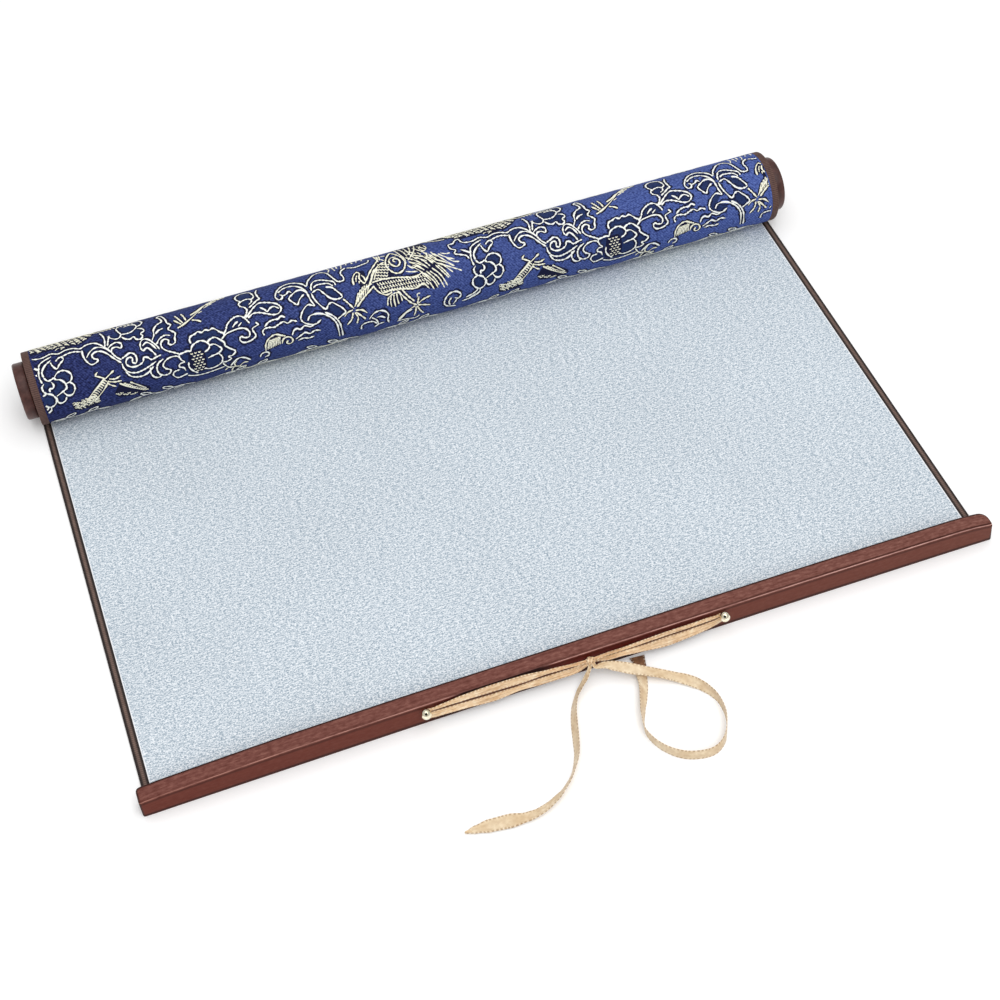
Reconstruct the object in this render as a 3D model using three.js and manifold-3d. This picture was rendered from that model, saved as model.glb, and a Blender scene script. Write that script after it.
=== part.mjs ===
// A water writing cloth made up as a hanging scroll. A sheet of writing cloth on a brocade backing, bound
// along both sides, is held by a hanging rod at one end and wound on a roller with knobs at the other.
// It lies on a table part unrolled, writing side up, with the ribbon of the hanging rod in front.
// Millimetres, +X along the rods, +Y from the hanging rod to the roller, +Z up.
import * as THREE from 'three';
import { mergeVertices } from 'three/addons/utils/BufferGeometryUtils.js';
import Module from 'manifold-3d';

const wasm = await Module();
wasm.setup();

// Sheet: writing cloth above, brocade below, a strip of edging on each side.
const SHEET_WIDTH = 430;
const EDGING_WIDTH = 4;
const CLOTH_THICKNESS = 0.35;
const BROCADE_THICKNESS = 0.45;
const GLUE_LINE = 0.1;
const SEAM_GAP = 0.1;
const FLAT_LENGTH = 252.4;
const TUCK_DEPTH = 5;

// Roll: inner turns fixed to the roller, and one outer turn that lies still while the roller turns in it.
const ROLLER_DIAMETER = 25;
const INNER_TURNS = 3.8;
const WINDING_GAP = 0.45;
const ROLLER_SEAT_GAP = 0.3;
const RUNNING_GAP = 0.4;
const OUTER_TURN_SHARE = 0.94;
const LIFT_OFF_GAP = 0.3;
const STEPS_PER_TURN = 48;

// Roller knobs, turned with a spigot that is glued into the roller's end.
const KNOB_DIAMETER = 31;
const KNOB_LENGTH = 6;
const KNOB_EDGE_RADIUS = 1.2;
const KNOB_GAP = 0.4;
const SPIGOT_DIAMETER = 9;
const SPIGOT_LENGTH = 16;
const SPIGOT_CLEARANCE = 0.25;
const TURNED_SEGMENTS = 40;

// Hanging rod, rebated below its back edge for the end of the sheet.
const ROD_OVERHANG = 2.5;
const HANGING_ROD_HEIGHT = 14.4;
const HANGING_ROD_DEPTH = 9.2;
const ROD_BACK = 0.5;
const TOP_EDGE_RADIUS = 0.8;
const TOP_EDGE_STEPS = 4;
const LEFT_CORNER_RADIUS = 1.8;
const RIGHT_CORNER_RADIUS = 4.2;
const FRONT_CORNER_RADIUS = 1.2;
const RIGHT_END_SLANT = 0.9;
const SLANT_REACH = 20;
const CORNER_STATIONS = [0, 0.15, 0.5, 1, 1.8, 2.9, 4.2];

// Planing of the rod towards its ends: [share of the half length from the end, drop of the top, shift forward].
const ROD_LEFT_END = [
  [0, 3.9, 0.9], [0.003, 3.2, 0.9], [0.014, 2.7, 0.9], [0.035, 2.3, 0.9], [0.058, 2, 0.8], [0.122, 1.5, 0.7],
  [0.186, 1, 0.6], [0.25, 0.5, 0.5], [0.32, 0.1, 0.4], [0.45, 0, 0.2], [0.59, 0, 0],
];
const ROD_RIGHT_END = [
  [0, 2.4, 0.9], [0.012, 2, 0.9], [0.025, 1.5, 0.9], [0.048, 0.9, 0.8], [0.08, 0.4, 0.75], [0.154, 0.2, 0.6],
  [0.31, 0, 0.4], [0.45, 0, 0.15], [0.59, 0, 0],
];

// Hanger nails: ball heads that stand off the rod's front face by the bunched ribbon.
const NAIL_SPACING = 151.6;
const HANGER_MIDDLE_X = -5.5;
const NAIL_HEIGHT = 11.5;
const NAIL_STANDOFF = 1.4;
const NAIL_HEAD_DIAMETER = 5.2;
const NAIL_HEAD_HEIGHT = 3.8;
const NAIL_SHANK_DIAMETER = 1.8;
const NAIL_SHANK_DEPTH = 6;
const PILOT_CLEARANCE = 0.2;
const NAIL_SEGMENTS = 20;

// Ribbon: the hanger's two strands, and a tie knotted round them at one place with two tails.
const RIBBON_THICKNESS = 0.35;
const KNOT_X = 0.8;
const KNOT_HEIGHT = 10.6;
const KNOT_LENGTH = 4.2;
const KNOT_BORE_WIDTH = 2.4;
const KNOT_BORE_HEIGHT = 2.5;
const KNOT_WALL = 0.7;
const KNOT_CORNER_RADIUS = 0.6;
const KNOT_GAP = 0.3;
const TABLE_CLEARANCE = 0.1;
const STEPS_PER_STATION = 3;

// Worked out from the sizes above.
const SHEET_THICKNESS = BROCADE_THICKNESS + GLUE_LINE + CLOTH_THICKNESS;
const PITCH = SHEET_THICKNESS + WINDING_GAP;
const LAYER_HALF_WIDTH = SHEET_WIDTH / 2 - EDGING_WIDTH - SEAM_GAP;
const ROLLER_RADIUS = ROLLER_DIAMETER / 2;
const INNER_ROLL_RADIUS = ROLLER_RADIUS + ROLLER_SEAT_GAP + SHEET_THICKNESS + INNER_TURNS * PITCH;
const ROLL_RADIUS = INNER_ROLL_RADIUS + RUNNING_GAP + SHEET_THICKNESS;
const ROLLER_HALF_LENGTH = SHEET_WIDTH / 2 + KNOB_GAP;
const HANGING_ROD_LENGTH = SHEET_WIDTH + 2 * ROD_OVERHANG;
const ROD_FRONT = ROD_BACK - HANGING_ROD_DEPTH;
const NAIL_LEFT_X = HANGER_MIDDLE_X - NAIL_SPACING / 2;
const NAIL_RIGHT_X = HANGER_MIDDLE_X + NAIL_SPACING / 2;
const NAIL_SHANK_RADIUS = NAIL_SHANK_DIAMETER / 2;
const PART_FRONT = ROD_FRONT - NAIL_STANDOFF - NAIL_HEAD_HEIGHT;
const PART_BACK = FLAT_LENGTH + ROLL_RADIUS;

function makeMaterial(color, roughness, metalness) {
  return new THREE.MeshStandardMaterial({ color, roughness, metalness });
}

const clothColor = 0xd0dae3;
const brocadeColor = 0x2b3180;
const edgingColor = 0x3c2a24;
const rodColor = 0x77463e;
const rollerColor = 0x9a7a5c;
const knobColor = 0x6a4c48;
const ribbonColor = 0xdcc096;
const brassColor = 0xd8bf7a;

// The built pieces stand in a group whose origin is the middle of the object on the table; inside it y is
// counted from a line just inside the hanging rod's back face.
const scroll = new THREE.Group();
scroll.position.y = -(PART_FRONT + PART_BACK) / 2;

function addPiece(name, geometry, material) {
  const mesh = new THREE.Mesh(geometry, material);
  mesh.name = name;
  scroll.add(mesh);
  return mesh;
}

function signedVolume(positions, index) {
  const corner = [new THREE.Vector3(), new THREE.Vector3(), new THREE.Vector3()];
  let sum = 0;
  for (let i = 0; i < index.length; i += 3) {
    corner.forEach((point, k) => point.fromArray(positions, 3 * index[i + k]));
    sum += corner[0].dot(corner[1].clone().cross(corner[2])) / 6;
  }
  return sum;
}

function closedGeometry(positions, index) {
  const outward = signedVolume(positions, index) > 0 ? index : index.slice().reverse();
  const geometry = new THREE.BufferGeometry();
  geometry.setAttribute('position', new THREE.Float32BufferAttribute(positions, 3));
  geometry.setIndex(outward);
  geometry.computeVertexNormals();
  return geometry;
}

// Joins a row of rings with as many corners each into one closed body; the caps are triangles of a ring.
function loft(rings, caps = [[0, 1, 2], [0, 2, 3]]) {
  const sides = rings[0].length;
  const positions = rings.flat().flatMap((point) => point.toArray());
  const index = [];
  for (let ring = 0; ring < rings.length - 1; ring++) {
    for (let side = 0; side < sides; side++) {
      const a = ring * sides + side;
      const b = ring * sides + ((side + 1) % sides);
      index.push(a, b, b + sides, a, b + sides, a + sides);
    }
  }
  const last = (rings.length - 1) * sides;
  for (const [a, b, c] of caps) index.push(a, c, b, last + a, last + b, last + c);
  return closedGeometry(positions, index);
}

function toSolid(geometry) {
  const bare = geometry.clone();
  bare.deleteAttribute('normal');
  bare.deleteAttribute('uv');
  const merged = mergeVertices(bare, 1e-4);
  const mesh = new wasm.Mesh({
    numProp: 3,
    vertProperties: new Float32Array(merged.attributes.position.array),
    triVerts: new Uint32Array(merged.index.array),
  });
  return new wasm.Manifold(mesh);
}

function fromSolid(solid) {
  const mesh = solid.getMesh();
  return closedGeometry(Array.from(mesh.vertProperties), Array.from(mesh.triVerts));
}

// A solid turned about X from a profile of [radius, x] that starts and ends on the axis.
function turned(profile, segments) {
  const points = profile.map(([radius, along]) => new THREE.Vector2(radius, along));
  const geometry = new THREE.LatheGeometry(points, segments);
  geometry.rotateZ(-Math.PI / 2);
  return fromSolid(toSolid(geometry));
}

// Sheet pieces. An x range and a share of the sheet's thickness give one layer, counted from the outside.
const LAYERS = {
  brocade: { from: 0, to: BROCADE_THICKNESS },
  cloth: { from: BROCADE_THICKNESS + GLUE_LINE, to: SHEET_THICKNESS },
  edging: { from: 0, to: SHEET_THICKNESS },
};

const OUTER_WINDING = { startRadius: ROLL_RADIUS, startTurn: 0, turns: OUTER_TURN_SHARE, pitch: 0 };
const INNER_WINDING = {
  startRadius: INNER_ROLL_RADIUS,
  startTurn: OUTER_TURN_SHARE,
  turns: INNER_TURNS,
  pitch: PITCH,
};

function flatLayer(xLow, xHigh, layer) {
  const length = FLAT_LENGTH - LIFT_OFF_GAP + TUCK_DEPTH;
  const geometry = new THREE.BoxGeometry(xHigh - xLow, length, layer.to - layer.from);
  geometry.translate((xLow + xHigh) / 2, length / 2 - TUCK_DEPTH, (layer.from + layer.to) / 2);
  return geometry;
}

// A layer wound from a start turn, where turn 0 is at the table, straight below the roller, and the winding
// runs up the far side. Each turn lies inside the one before it by the pitch.
function woundLayer(xLow, xHigh, layer, { startRadius, startTurn, turns, pitch }) {
  const steps = Math.round(turns * STEPS_PER_TURN);
  const rings = [];
  for (let step = 0; step <= steps; step++) {
    const turn = (turns * step) / steps;
    const angle = 2 * Math.PI * (startTurn + turn);
    const outside = startRadius - pitch * turn;
    const place = (x, depth) => {
      const radius = outside - depth;
      return new THREE.Vector3(
        x,
        FLAT_LENGTH + radius * Math.sin(angle),
        ROLL_RADIUS - radius * Math.cos(angle),
      );
    };
    rings.push([
      place(xLow, layer.from),
      place(xHigh, layer.from),
      place(xHigh, layer.to),
      place(xLow, layer.to),
    ]);
  }
  return loft(rings);
}

// Least gap of a wound layer to its own next turn, measured between its ring points.
function leastGapToItself(geometry) {
  const points = geometry.attributes.position;
  const rings = points.count / 4;
  const inner = new THREE.Vector3();
  const outer = new THREE.Vector3();
  let least = Infinity;
  for (let ring = 0; ring < rings; ring++) {
    for (let later = ring + STEPS_PER_TURN / 2; later < rings; later++) {
      inner.fromBufferAttribute(points, 4 * ring + 3);
      outer.fromBufferAttribute(points, 4 * later);
      least = Math.min(least, inner.distanceTo(outer));
    }
  }
  return least;
}

function buildSheetStrip(name, xLow, xHigh, layer, color, roughness) {
  const material = () => makeMaterial(color, roughness, 0);
  const outerTurn = woundLayer(xLow, xHigh, layer, OUTER_WINDING);
  const innerTurns = woundLayer(xLow, xHigh, layer, INNER_WINDING);
  addPiece(`${name}_flat`, flatLayer(xLow, xHigh, layer), material());
  addPiece(`${name}_outer_turn`, outerTurn, material());
  addPiece(`${name}_inner_turns`, innerTurns, material());
  console.log(`${name}_inner_turns least gap to itself ${leastGapToItself(innerTurns).toFixed(2)} mm`);
}

function buildSheet() {
  const edge = SHEET_WIDTH / 2;
  const seam = edge - EDGING_WIDTH;
  buildSheetStrip('writing_cloth', -LAYER_HALF_WIDTH, LAYER_HALF_WIDTH, LAYERS.cloth, clothColor, 0.9);
  buildSheetStrip('brocade', -LAYER_HALF_WIDTH, LAYER_HALF_WIDTH, LAYERS.brocade, brocadeColor, 0.6);
  buildSheetStrip('edging_left', -edge, -seam, LAYERS.edging, edgingColor, 0.8);
  buildSheetStrip('edging_right', seam, edge, LAYERS.edging, edgingColor, 0.8);
}

function buildRoller() {
  const bore = SPIGOT_DIAMETER / 2 + SPIGOT_CLEARANCE;
  const bottom = ROLLER_HALF_LENGTH - SPIGOT_LENGTH - SPIGOT_CLEARANCE;
  const profile = [
    [0, -bottom],
    [bore, -bottom],
    [bore, -ROLLER_HALF_LENGTH],
    [ROLLER_RADIUS, -ROLLER_HALF_LENGTH],
    [ROLLER_RADIUS, ROLLER_HALF_LENGTH],
    [bore, ROLLER_HALF_LENGTH],
    [bore, bottom],
    [0, bottom],
  ];
  const mesh = addPiece('roller_rod', turned(profile, TURNED_SEGMENTS), makeMaterial(rollerColor, 0.7, 0));
  mesh.position.set(0, FLAT_LENGTH, ROLL_RADIUS);
}

function buildKnob(name, side) {
  const spigot = SPIGOT_DIAMETER / 2;
  const rim = KNOB_DIAMETER / 2;
  const arcSteps = 4;
  const profile = [[0, -SPIGOT_LENGTH], [spigot, -SPIGOT_LENGTH], [spigot, 0], [rim, 0]];
  for (let step = 0; step <= arcSteps; step++) {
    const angle = (Math.PI / 2) * (step / arcSteps);
    profile.push([
      rim - KNOB_EDGE_RADIUS * (1 - Math.cos(angle)),
      KNOB_LENGTH - KNOB_EDGE_RADIUS * (1 - Math.sin(angle)),
    ]);
  }
  profile.push([0, KNOB_LENGTH]);
  const mesh = addPiece(name, turned(profile, TURNED_SEGMENTS), makeMaterial(knobColor, 0.45, 0));
  mesh.position.set(side * ROLLER_HALF_LENGTH, FLAT_LENGTH, ROLL_RADIUS);
  mesh.rotation.z = side > 0 ? 0 : Math.PI;
}

// How far a rounded corner is cut back at a place near the end.
function cornerCut(radius, fromEnd) {
  return fromEnd < radius ? radius - Math.sqrt(radius ** 2 - (radius - fromEnd) ** 2) : 0;
}

// Drop of the top and shift forward at a share of the half length from the end.
function planing(table, share) {
  const next = table.findIndex(([at]) => at > share);
  if (next < 0) return [0, 0];
  const [low, high] = [table[next - 1], table[next]];
  const part = (share - low[0]) / (high[0] - low[0]);
  return [1, 2].map((k) => THREE.MathUtils.lerp(low[k], high[k], part));
}

// Rod section at one place as a ring: rebated below at the back for the sheet, with rounded top edges.
function rodRing(side, fromEnd) {
  const half = HANGING_ROD_LENGTH / 2;
  const [drop, forward] = planing(side < 0 ? ROD_LEFT_END : ROD_RIGHT_END, fromEnd / half);
  const lip = -TUCK_DEPTH - GLUE_LINE;
  const rebate = SHEET_THICKNESS + GLUE_LINE;
  const top = HANGING_ROD_HEIGHT - drop - TOP_EDGE_RADIUS;
  const front = ROD_FRONT - forward + cornerCut(FRONT_CORNER_RADIUS, fromEnd);
  const corner = cornerCut(side < 0 ? LEFT_CORNER_RADIUS : RIGHT_CORNER_RADIUS, fromEnd);
  const back = Math.max(ROD_BACK - forward - corner, lip + 4 * GLUE_LINE);
  const outline = [[front, 0], [lip, 0], [lip, rebate], [back, rebate]];
  const quarter = Array.from({ length: TOP_EDGE_STEPS + 1 }, (_, k) => (k * Math.PI) / 2 / TOP_EDGE_STEPS);
  for (const turn of quarter) {
    outline.push([back - TOP_EDGE_RADIUS * (1 - Math.cos(turn)), top + TOP_EDGE_RADIUS * Math.sin(turn)]);
  }
  for (const turn of quarter) {
    outline.push([front + TOP_EDGE_RADIUS * (1 - Math.sin(turn)), top + TOP_EDGE_RADIUS * Math.cos(turn)]);
  }
  const slant = side > 0 ? RIGHT_END_SLANT * Math.max(0, 1 - fromEnd / SLANT_REACH) : 0;
  return outline.map(([y, z]) => {
    const lean = slant * (1 - (2 * z) / HANGING_ROD_HEIGHT);
    return new THREE.Vector3(side * (half - fromEnd) + lean, y, z);
  });
}

// Triangles that close a ring, all turned the way the ring runs.
function ringCaps(ring) {
  const contour = ring.map((point) => new THREE.Vector2(point.y, point.z));
  const way = Math.sign(THREE.ShapeUtils.area(contour));
  return THREE.ShapeUtils.triangulateShape(contour, []).map((face) => {
    const same = Math.sign(THREE.ShapeUtils.area(face.map((k) => contour[k]))) === way;
    return same ? face : [face[0], face[2], face[1]];
  });
}

function pilotHole(x) {
  const depth = NAIL_SHANK_DEPTH + PILOT_CLEARANCE;
  const mouth = NAIL_STANDOFF;
  const radius = NAIL_SHANK_RADIUS + PILOT_CLEARANCE;
  const hole = new THREE.CylinderGeometry(radius, radius, depth + mouth, NAIL_SEGMENTS);
  hole.translate(x, ROD_FRONT + (depth - mouth) / 2, NAIL_HEIGHT);
  return toSolid(hole);
}

function buildHangingRod() {
  const half = HANGING_ROD_LENGTH / 2;
  const rings = [];
  for (const side of [-1, 1]) {
    const table = side < 0 ? ROD_LEFT_END : ROD_RIGHT_END;
    const planed = table.map(([share]) => share * half).filter((at) => at > CORNER_STATIONS.at(-1));
    const made = [...CORNER_STATIONS, ...planed].map((fromEnd) => rodRing(side, fromEnd));
    rings.push(...(side < 0 ? made : made.reverse()));
  }
  const solid = toSolid(loft(rings, ringCaps(rings[0])))
    .subtract(pilotHole(NAIL_LEFT_X))
    .subtract(pilotHole(NAIL_RIGHT_X));
  addPiece('hanging_rod', fromSolid(solid), makeMaterial(rodColor, 0.45, 0));
}

// A nail turned about its shank, which points into the rod; the head is a ball cut flat at the back.
function buildNail(name, x) {
  const radius = NAIL_HEAD_DIAMETER / 2;
  const middle = NAIL_HEAD_HEIGHT - radius;
  const ballSteps = 8;
  const ballStart = -Math.asin(middle / radius);
  const profile = [
    [0, -NAIL_STANDOFF - NAIL_SHANK_DEPTH],
    [NAIL_SHANK_RADIUS, -NAIL_STANDOFF - NAIL_SHANK_DEPTH],
    [NAIL_SHANK_RADIUS, 0],
  ];
  for (let step = 0; step < ballSteps; step++) {
    const angle = ballStart + ((Math.PI / 2 - ballStart) * step) / ballSteps;
    profile.push([radius * Math.cos(angle), middle + radius * Math.sin(angle)]);
  }
  profile.push([0, NAIL_HEAD_HEIGHT]);
  const mesh = addPiece(name, turned(profile, NAIL_SEGMENTS), makeMaterial(brassColor, 0.3, 1));
  mesh.rotation.z = -Math.PI / 2;
  mesh.position.set(x, ROD_FRONT - NAIL_STANDOFF, NAIL_HEIGHT);
}

// A flat ribbon along stations with x, ahead (in front of the rod), z, tilt, width and thickness.
// Tilt is in degrees: 0 stands on its edge and 90 lies flat.
function ribbon(stations) {
  const points = stations.map((s) => new THREE.Vector3(s.x, ROD_FRONT - s.ahead, s.z));
  const curve = new THREE.CatmullRomCurve3(points, false, 'centripetal');
  const spans = stations.length - 1;
  const steps = spans * STEPS_PER_STATION;
  const upright = new THREE.Vector3(0, 0, 1);
  const rings = [];
  for (let step = 0; step <= steps; step++) {
    const t = step / steps;
    const from = Math.min(Math.floor(t * spans), spans - 1);
    const share = t * spans - from;
    const mix = (key) => THREE.MathUtils.lerp(stations[from][key], stations[from + 1][key], share);
    const centre = curve.getPoint(t);
    const along = curve.getTangent(t);
    const level = upright.clone().cross(along).normalize();
    const rise = along.clone().cross(level);
    const tilt = THREE.MathUtils.degToRad(mix('tilt'));
    const across = rise.multiplyScalar(Math.cos(tilt)).addScaledVector(level, Math.sin(tilt));
    const through = along.clone().cross(across);
    const corner = (a, b) => centre.clone()
      .addScaledVector(across, (a * mix('width')) / 2)
      .addScaledVector(through, (b * mix('thickness')) / 2);
    rings.push([corner(-1, -1), corner(1, -1), corner(1, 1), corner(-1, 1)]);
  }
  return loft(rings);
}

function hangerStation([x, ahead, z, tilt, width, thickness = RIBBON_THICKNESS]) {
  return { x, ahead, z, tilt, width, thickness };
}

// A station of a tail: its height is what its tilt and width need to lie on the table, plus a lift.
function tailStation([x, ahead, lift, tilt, width, thickness = RIBBON_THICKNESS]) {
  const turn = THREE.MathUtils.degToRad(tilt);
  const lay = (width * Math.abs(Math.cos(turn)) + thickness * Math.abs(Math.sin(turn))) / 2;
  return { x, ahead, z: TABLE_CLEARANCE + lay + lift, tilt, width, thickness };
}

// Stations of the hanger and the tie: [x, ahead, z or lift, tilt, width, thickness where bunched].
const upperStrand = [
  [NAIL_LEFT_X + 1.3, 0.7, NAIL_HEIGHT + 0.5, 4, 0.9, 1],
  [NAIL_LEFT_X + 3.2, 0.85, 11.5, 8, 1.6, 0.8],
  [NAIL_LEFT_X + 9, 1.1, 12.1, 10, 2.4, 0.5],
  [NAIL_LEFT_X + 19, 1.2, 12.8, 12, 3.9],
  [-48, 1.25, 12.9, 12, 4.9],
  [-34, 1.3, 12.4, 12, 5],
  [-20, 1.6, 12.1, 20, 2.4, 0.5],
  [-9, 2, 11.6, 45, 1.6, 0.6],
  [KNOT_X - 3, 2.2, KNOT_HEIGHT + 0.6, 90, 1.7, 0.6],
  [KNOT_X, 2.2, KNOT_HEIGHT + 0.6, 90, 1.6, 0.6],
  [KNOT_X + 3, 2.2, KNOT_HEIGHT + 0.6, 90, 1.7, 0.6],
  [9.5, 2, 11.6, 45, 1.5, 0.6],
  [17, 1.7, 11.1, 25, 1.5, 0.6],
  [28, 1.4, 11, 14, 2.2, 0.5],
  [40, 1.3, 11.3, 12, 2.4, 0.5],
  [54, 1.2, 11.2, 12, 2.4, 0.5],
  [NAIL_RIGHT_X - 9, 1.1, 11.4, 10, 2.5, 0.5],
  [NAIL_RIGHT_X - 3.2, 0.85, 11.2, 8, 2, 0.7],
  [NAIL_RIGHT_X - 1.3, 0.7, NAIL_HEIGHT + 0.5, 4, 0.9, 1],
];
const lowerStrand = [
  [NAIL_LEFT_X, 0.7, 8.2, 4, 4.2],
  [NAIL_LEFT_X + 3.2, 0.9, 7.1, 8, 4.8],
  [NAIL_LEFT_X + 9, 1.5, 7.5, 18, 4.1],
  [NAIL_LEFT_X + 19, 2, 7.7, 22, 4],
  [-48, 2.2, 6.8, 20, 4.8],
  [-35, 2.3, 7.5, 22, 3.3],
  [-24, 2.3, 7.3, 25, 4.1],
  [-13, 2.3, 7.8, 32, 3.1, 0.4],
  [-7, 2.3, 8.3, 50, 2.3, 0.5],
  [KNOT_X - 3, 2.2, KNOT_HEIGHT - 0.6, 90, 1.7, 0.6],
  [KNOT_X, 2.2, KNOT_HEIGHT - 0.6, 90, 1.6, 0.6],
  [KNOT_X + 3, 2.2, KNOT_HEIGHT - 0.6, 90, 1.7, 0.6],
  [9.5, 2.3, 9, 50, 2, 0.5],
  [17, 2.4, 8.4, 34, 2.8, 0.4],
  [27, 2.4, 7.3, 28, 3.8],
  [40, 2.5, 6.6, 28, 5.3],
  [53, 2.4, 7, 26, 4.6],
  [NAIL_RIGHT_X - 9, 1.6, 6.7, 20, 4.3],
  [NAIL_RIGHT_X - 3.2, 0.9, 6.8, 8, 4.2],
  [NAIL_RIGHT_X, 0.7, 8.1, 4, 4.2],
];
const freeTail = [
  [-0.7, 4.9, 7.2, 60, 2.2, 0.7],
  [-3.5, 7.2, 3.8, 54, 3.6, 0.5],
  [-7.4, 10.2, 1.6, 42, 4.4],
  [-11, 14, 0.4, 30, 5],
  [-14.4, 19.8, 0, 44, 6],
  [-17.1, 27.3, 0, 48, 6],
  [-19.4, 35.1, 0, 46, 6],
  [-22, 42.8, 0, 36, 6],
  [-26.9, 50.8, 0, 22, 6],
  [-32.9, 56.7, 0, 40, 6],
  [-39.8, 60.8, 0, 62, 6],
  [-47.7, 63.5, 0, 76, 6],
  [-54.6, 63.9, 0, 86, 6],
  [-62.4, 62.9, 0, 90, 6.6],
  [-71.7, 61.9, 0, 90, 6.6],
  [-78, 61.4, 0, 90, 4.4],
  [-83.4, 61.2, 0, 90, 1.2],
];
const loopTail = [
  [2.4, 4.9, 7.6, 60, 2, 0.7],
  [6.6, 5.4, 7.2, 62, 3.2, 0.5],
  [11.5, 7.3, 6.2, 66, 4.8],
  [18, 10.1, 4.9, 74, 6],
  [24.6, 13, 3.7, 80, 6],
  [30.9, 16.3, 2.6, 80, 6],
  [37.2, 19.8, 1.4, 74, 6],
  [42.9, 24.6, 0.4, 57, 6],
  [46.8, 29.4, 0, 34, 6],
  [49.6, 34.6, 0, 15, 6],
  [51.1, 39.8, 0, 6, 6],
  [50.8, 47.7, 0, 2, 6],
  [48.2, 54.6, 0, -4, 6],
  [44, 60.8, 0, -10, 6],
  [37.9, 64.1, 0, -13, 6],
  [29.6, 63.4, 0, -13, 6],
  [22.4, 60.1, 0, -10, 6],
  [16.4, 54.1, 0, -4, 6],
  [13.2, 47.9, 0, 0, 6],
  [12.1, 42.6, 0, 6, 6],
  [13.4, 37.2, 0, 22, 6],
  [15.8, 31, 0, 46, 6],
  [18.8, 24.8, 0, 70, 6],
  [21.4, 18.4, 0, 88, 6],
  [22.6, 13, 0, 90, 6],
  [25.4, 5.8, 0, 90, 6],
  [26.4, 1.9, 0, 90, 5.6],
];

// The knot is a sleeve drawn round both strands, just clear of the rod's face.
function buildKnot() {
  const outerWidth = KNOT_BORE_WIDTH + 2 * KNOT_WALL;
  const outerHeight = KNOT_BORE_HEIGHT + 2 * KNOT_WALL;
  const halfWidth = outerWidth / 2;
  const halfHeight = outerHeight / 2;
  const corner = KNOT_CORNER_RADIUS;
  const quarter = Math.PI / 2;
  const shape = new THREE.Shape();
  shape.absarc(halfWidth - corner, halfHeight - corner, corner, 0, quarter, false);
  shape.absarc(-halfWidth + corner, halfHeight - corner, corner, quarter, 2 * quarter, false);
  shape.absarc(-halfWidth + corner, -halfHeight + corner, corner, 2 * quarter, 3 * quarter, false);
  shape.absarc(halfWidth - corner, -halfHeight + corner, corner, 3 * quarter, 4 * quarter, false);
  const bore = new THREE.Path();
  bore.moveTo(-KNOT_BORE_WIDTH / 2, -KNOT_BORE_HEIGHT / 2);
  bore.lineTo(-KNOT_BORE_WIDTH / 2, KNOT_BORE_HEIGHT / 2);
  bore.lineTo(KNOT_BORE_WIDTH / 2, KNOT_BORE_HEIGHT / 2);
  bore.lineTo(KNOT_BORE_WIDTH / 2, -KNOT_BORE_HEIGHT / 2);
  shape.holes.push(bore);
  const sleeve = new THREE.ExtrudeGeometry(shape, {
    depth: KNOT_LENGTH,
    bevelEnabled: false,
    curveSegments: 3,
  });
  sleeve.translate(0, 0, -KNOT_LENGTH / 2);
  const mesh = addPiece('tie_knot', fromSolid(toSolid(sleeve)), makeMaterial(ribbonColor, 0.7, 0));
  mesh.rotation.set(Math.PI / 2, Math.PI / 2, 0);
  mesh.position.set(KNOT_X, ROD_FRONT - KNOT_GAP - halfWidth, KNOT_HEIGHT);
}

function buildRibbon() {
  const material = () => makeMaterial(ribbonColor, 0.7, 0);
  addPiece('hanger_strand_upper', ribbon(upperStrand.map(hangerStation)), material());
  addPiece('hanger_strand_lower', ribbon(lowerStrand.map(hangerStation)), material());
  addPiece('tie_tail_free', ribbon(freeTail.map(tailStation)), material());
  addPiece('tie_tail_loop', ribbon(loopTail.map(tailStation)), material());
  buildKnot();
}

buildHangingRod();
buildNail('hanger_nail_left', NAIL_LEFT_X);
buildNail('hanger_nail_right', NAIL_RIGHT_X);
buildRibbon();
buildSheet();
buildRoller();
buildKnob('roller_knob_left', -1);
buildKnob('roller_knob_right', 1);

export default scroll;
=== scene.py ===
"""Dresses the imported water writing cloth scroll: cloth, brocade, edging, wood, brass and ribbon."""
import math

import bpy
import numpy as np
from mathutils import Matrix, Vector


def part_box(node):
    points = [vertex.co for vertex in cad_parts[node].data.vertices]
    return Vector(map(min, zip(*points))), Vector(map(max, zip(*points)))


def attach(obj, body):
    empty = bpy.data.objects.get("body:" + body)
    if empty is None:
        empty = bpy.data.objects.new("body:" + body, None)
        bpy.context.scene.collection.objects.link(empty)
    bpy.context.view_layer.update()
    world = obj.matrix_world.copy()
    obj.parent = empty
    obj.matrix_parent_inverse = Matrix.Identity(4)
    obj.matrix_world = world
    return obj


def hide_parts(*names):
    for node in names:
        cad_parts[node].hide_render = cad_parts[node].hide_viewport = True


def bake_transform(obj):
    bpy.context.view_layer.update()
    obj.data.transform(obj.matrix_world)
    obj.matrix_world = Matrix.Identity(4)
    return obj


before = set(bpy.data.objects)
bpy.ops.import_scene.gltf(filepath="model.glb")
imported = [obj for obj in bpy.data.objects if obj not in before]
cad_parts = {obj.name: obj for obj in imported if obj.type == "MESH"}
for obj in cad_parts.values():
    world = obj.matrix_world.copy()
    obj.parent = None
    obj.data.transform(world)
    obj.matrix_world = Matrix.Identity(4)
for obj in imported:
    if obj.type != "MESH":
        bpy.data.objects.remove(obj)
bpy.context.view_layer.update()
scene = bpy.context.scene

# Sizes in millimetres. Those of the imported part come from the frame; y is counted from a line half a
# millimetre inside the rod's back.
MM = 0.001
ROD_BACK = 0.5
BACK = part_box("hanging_rod")[1].y - ROD_BACK * MM


def ends(node, axis):
    """The low and high ends of a CAD node's box along x, y or z."""
    k = "xyz".index(axis)
    start = (0, BACK, 0)[k]
    return [round((corner[k] - start) / MM, 3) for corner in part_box(node)]


def midpoint(node, axis):
    return round(sum(ends(node, axis)) / 2, 2)


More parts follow.
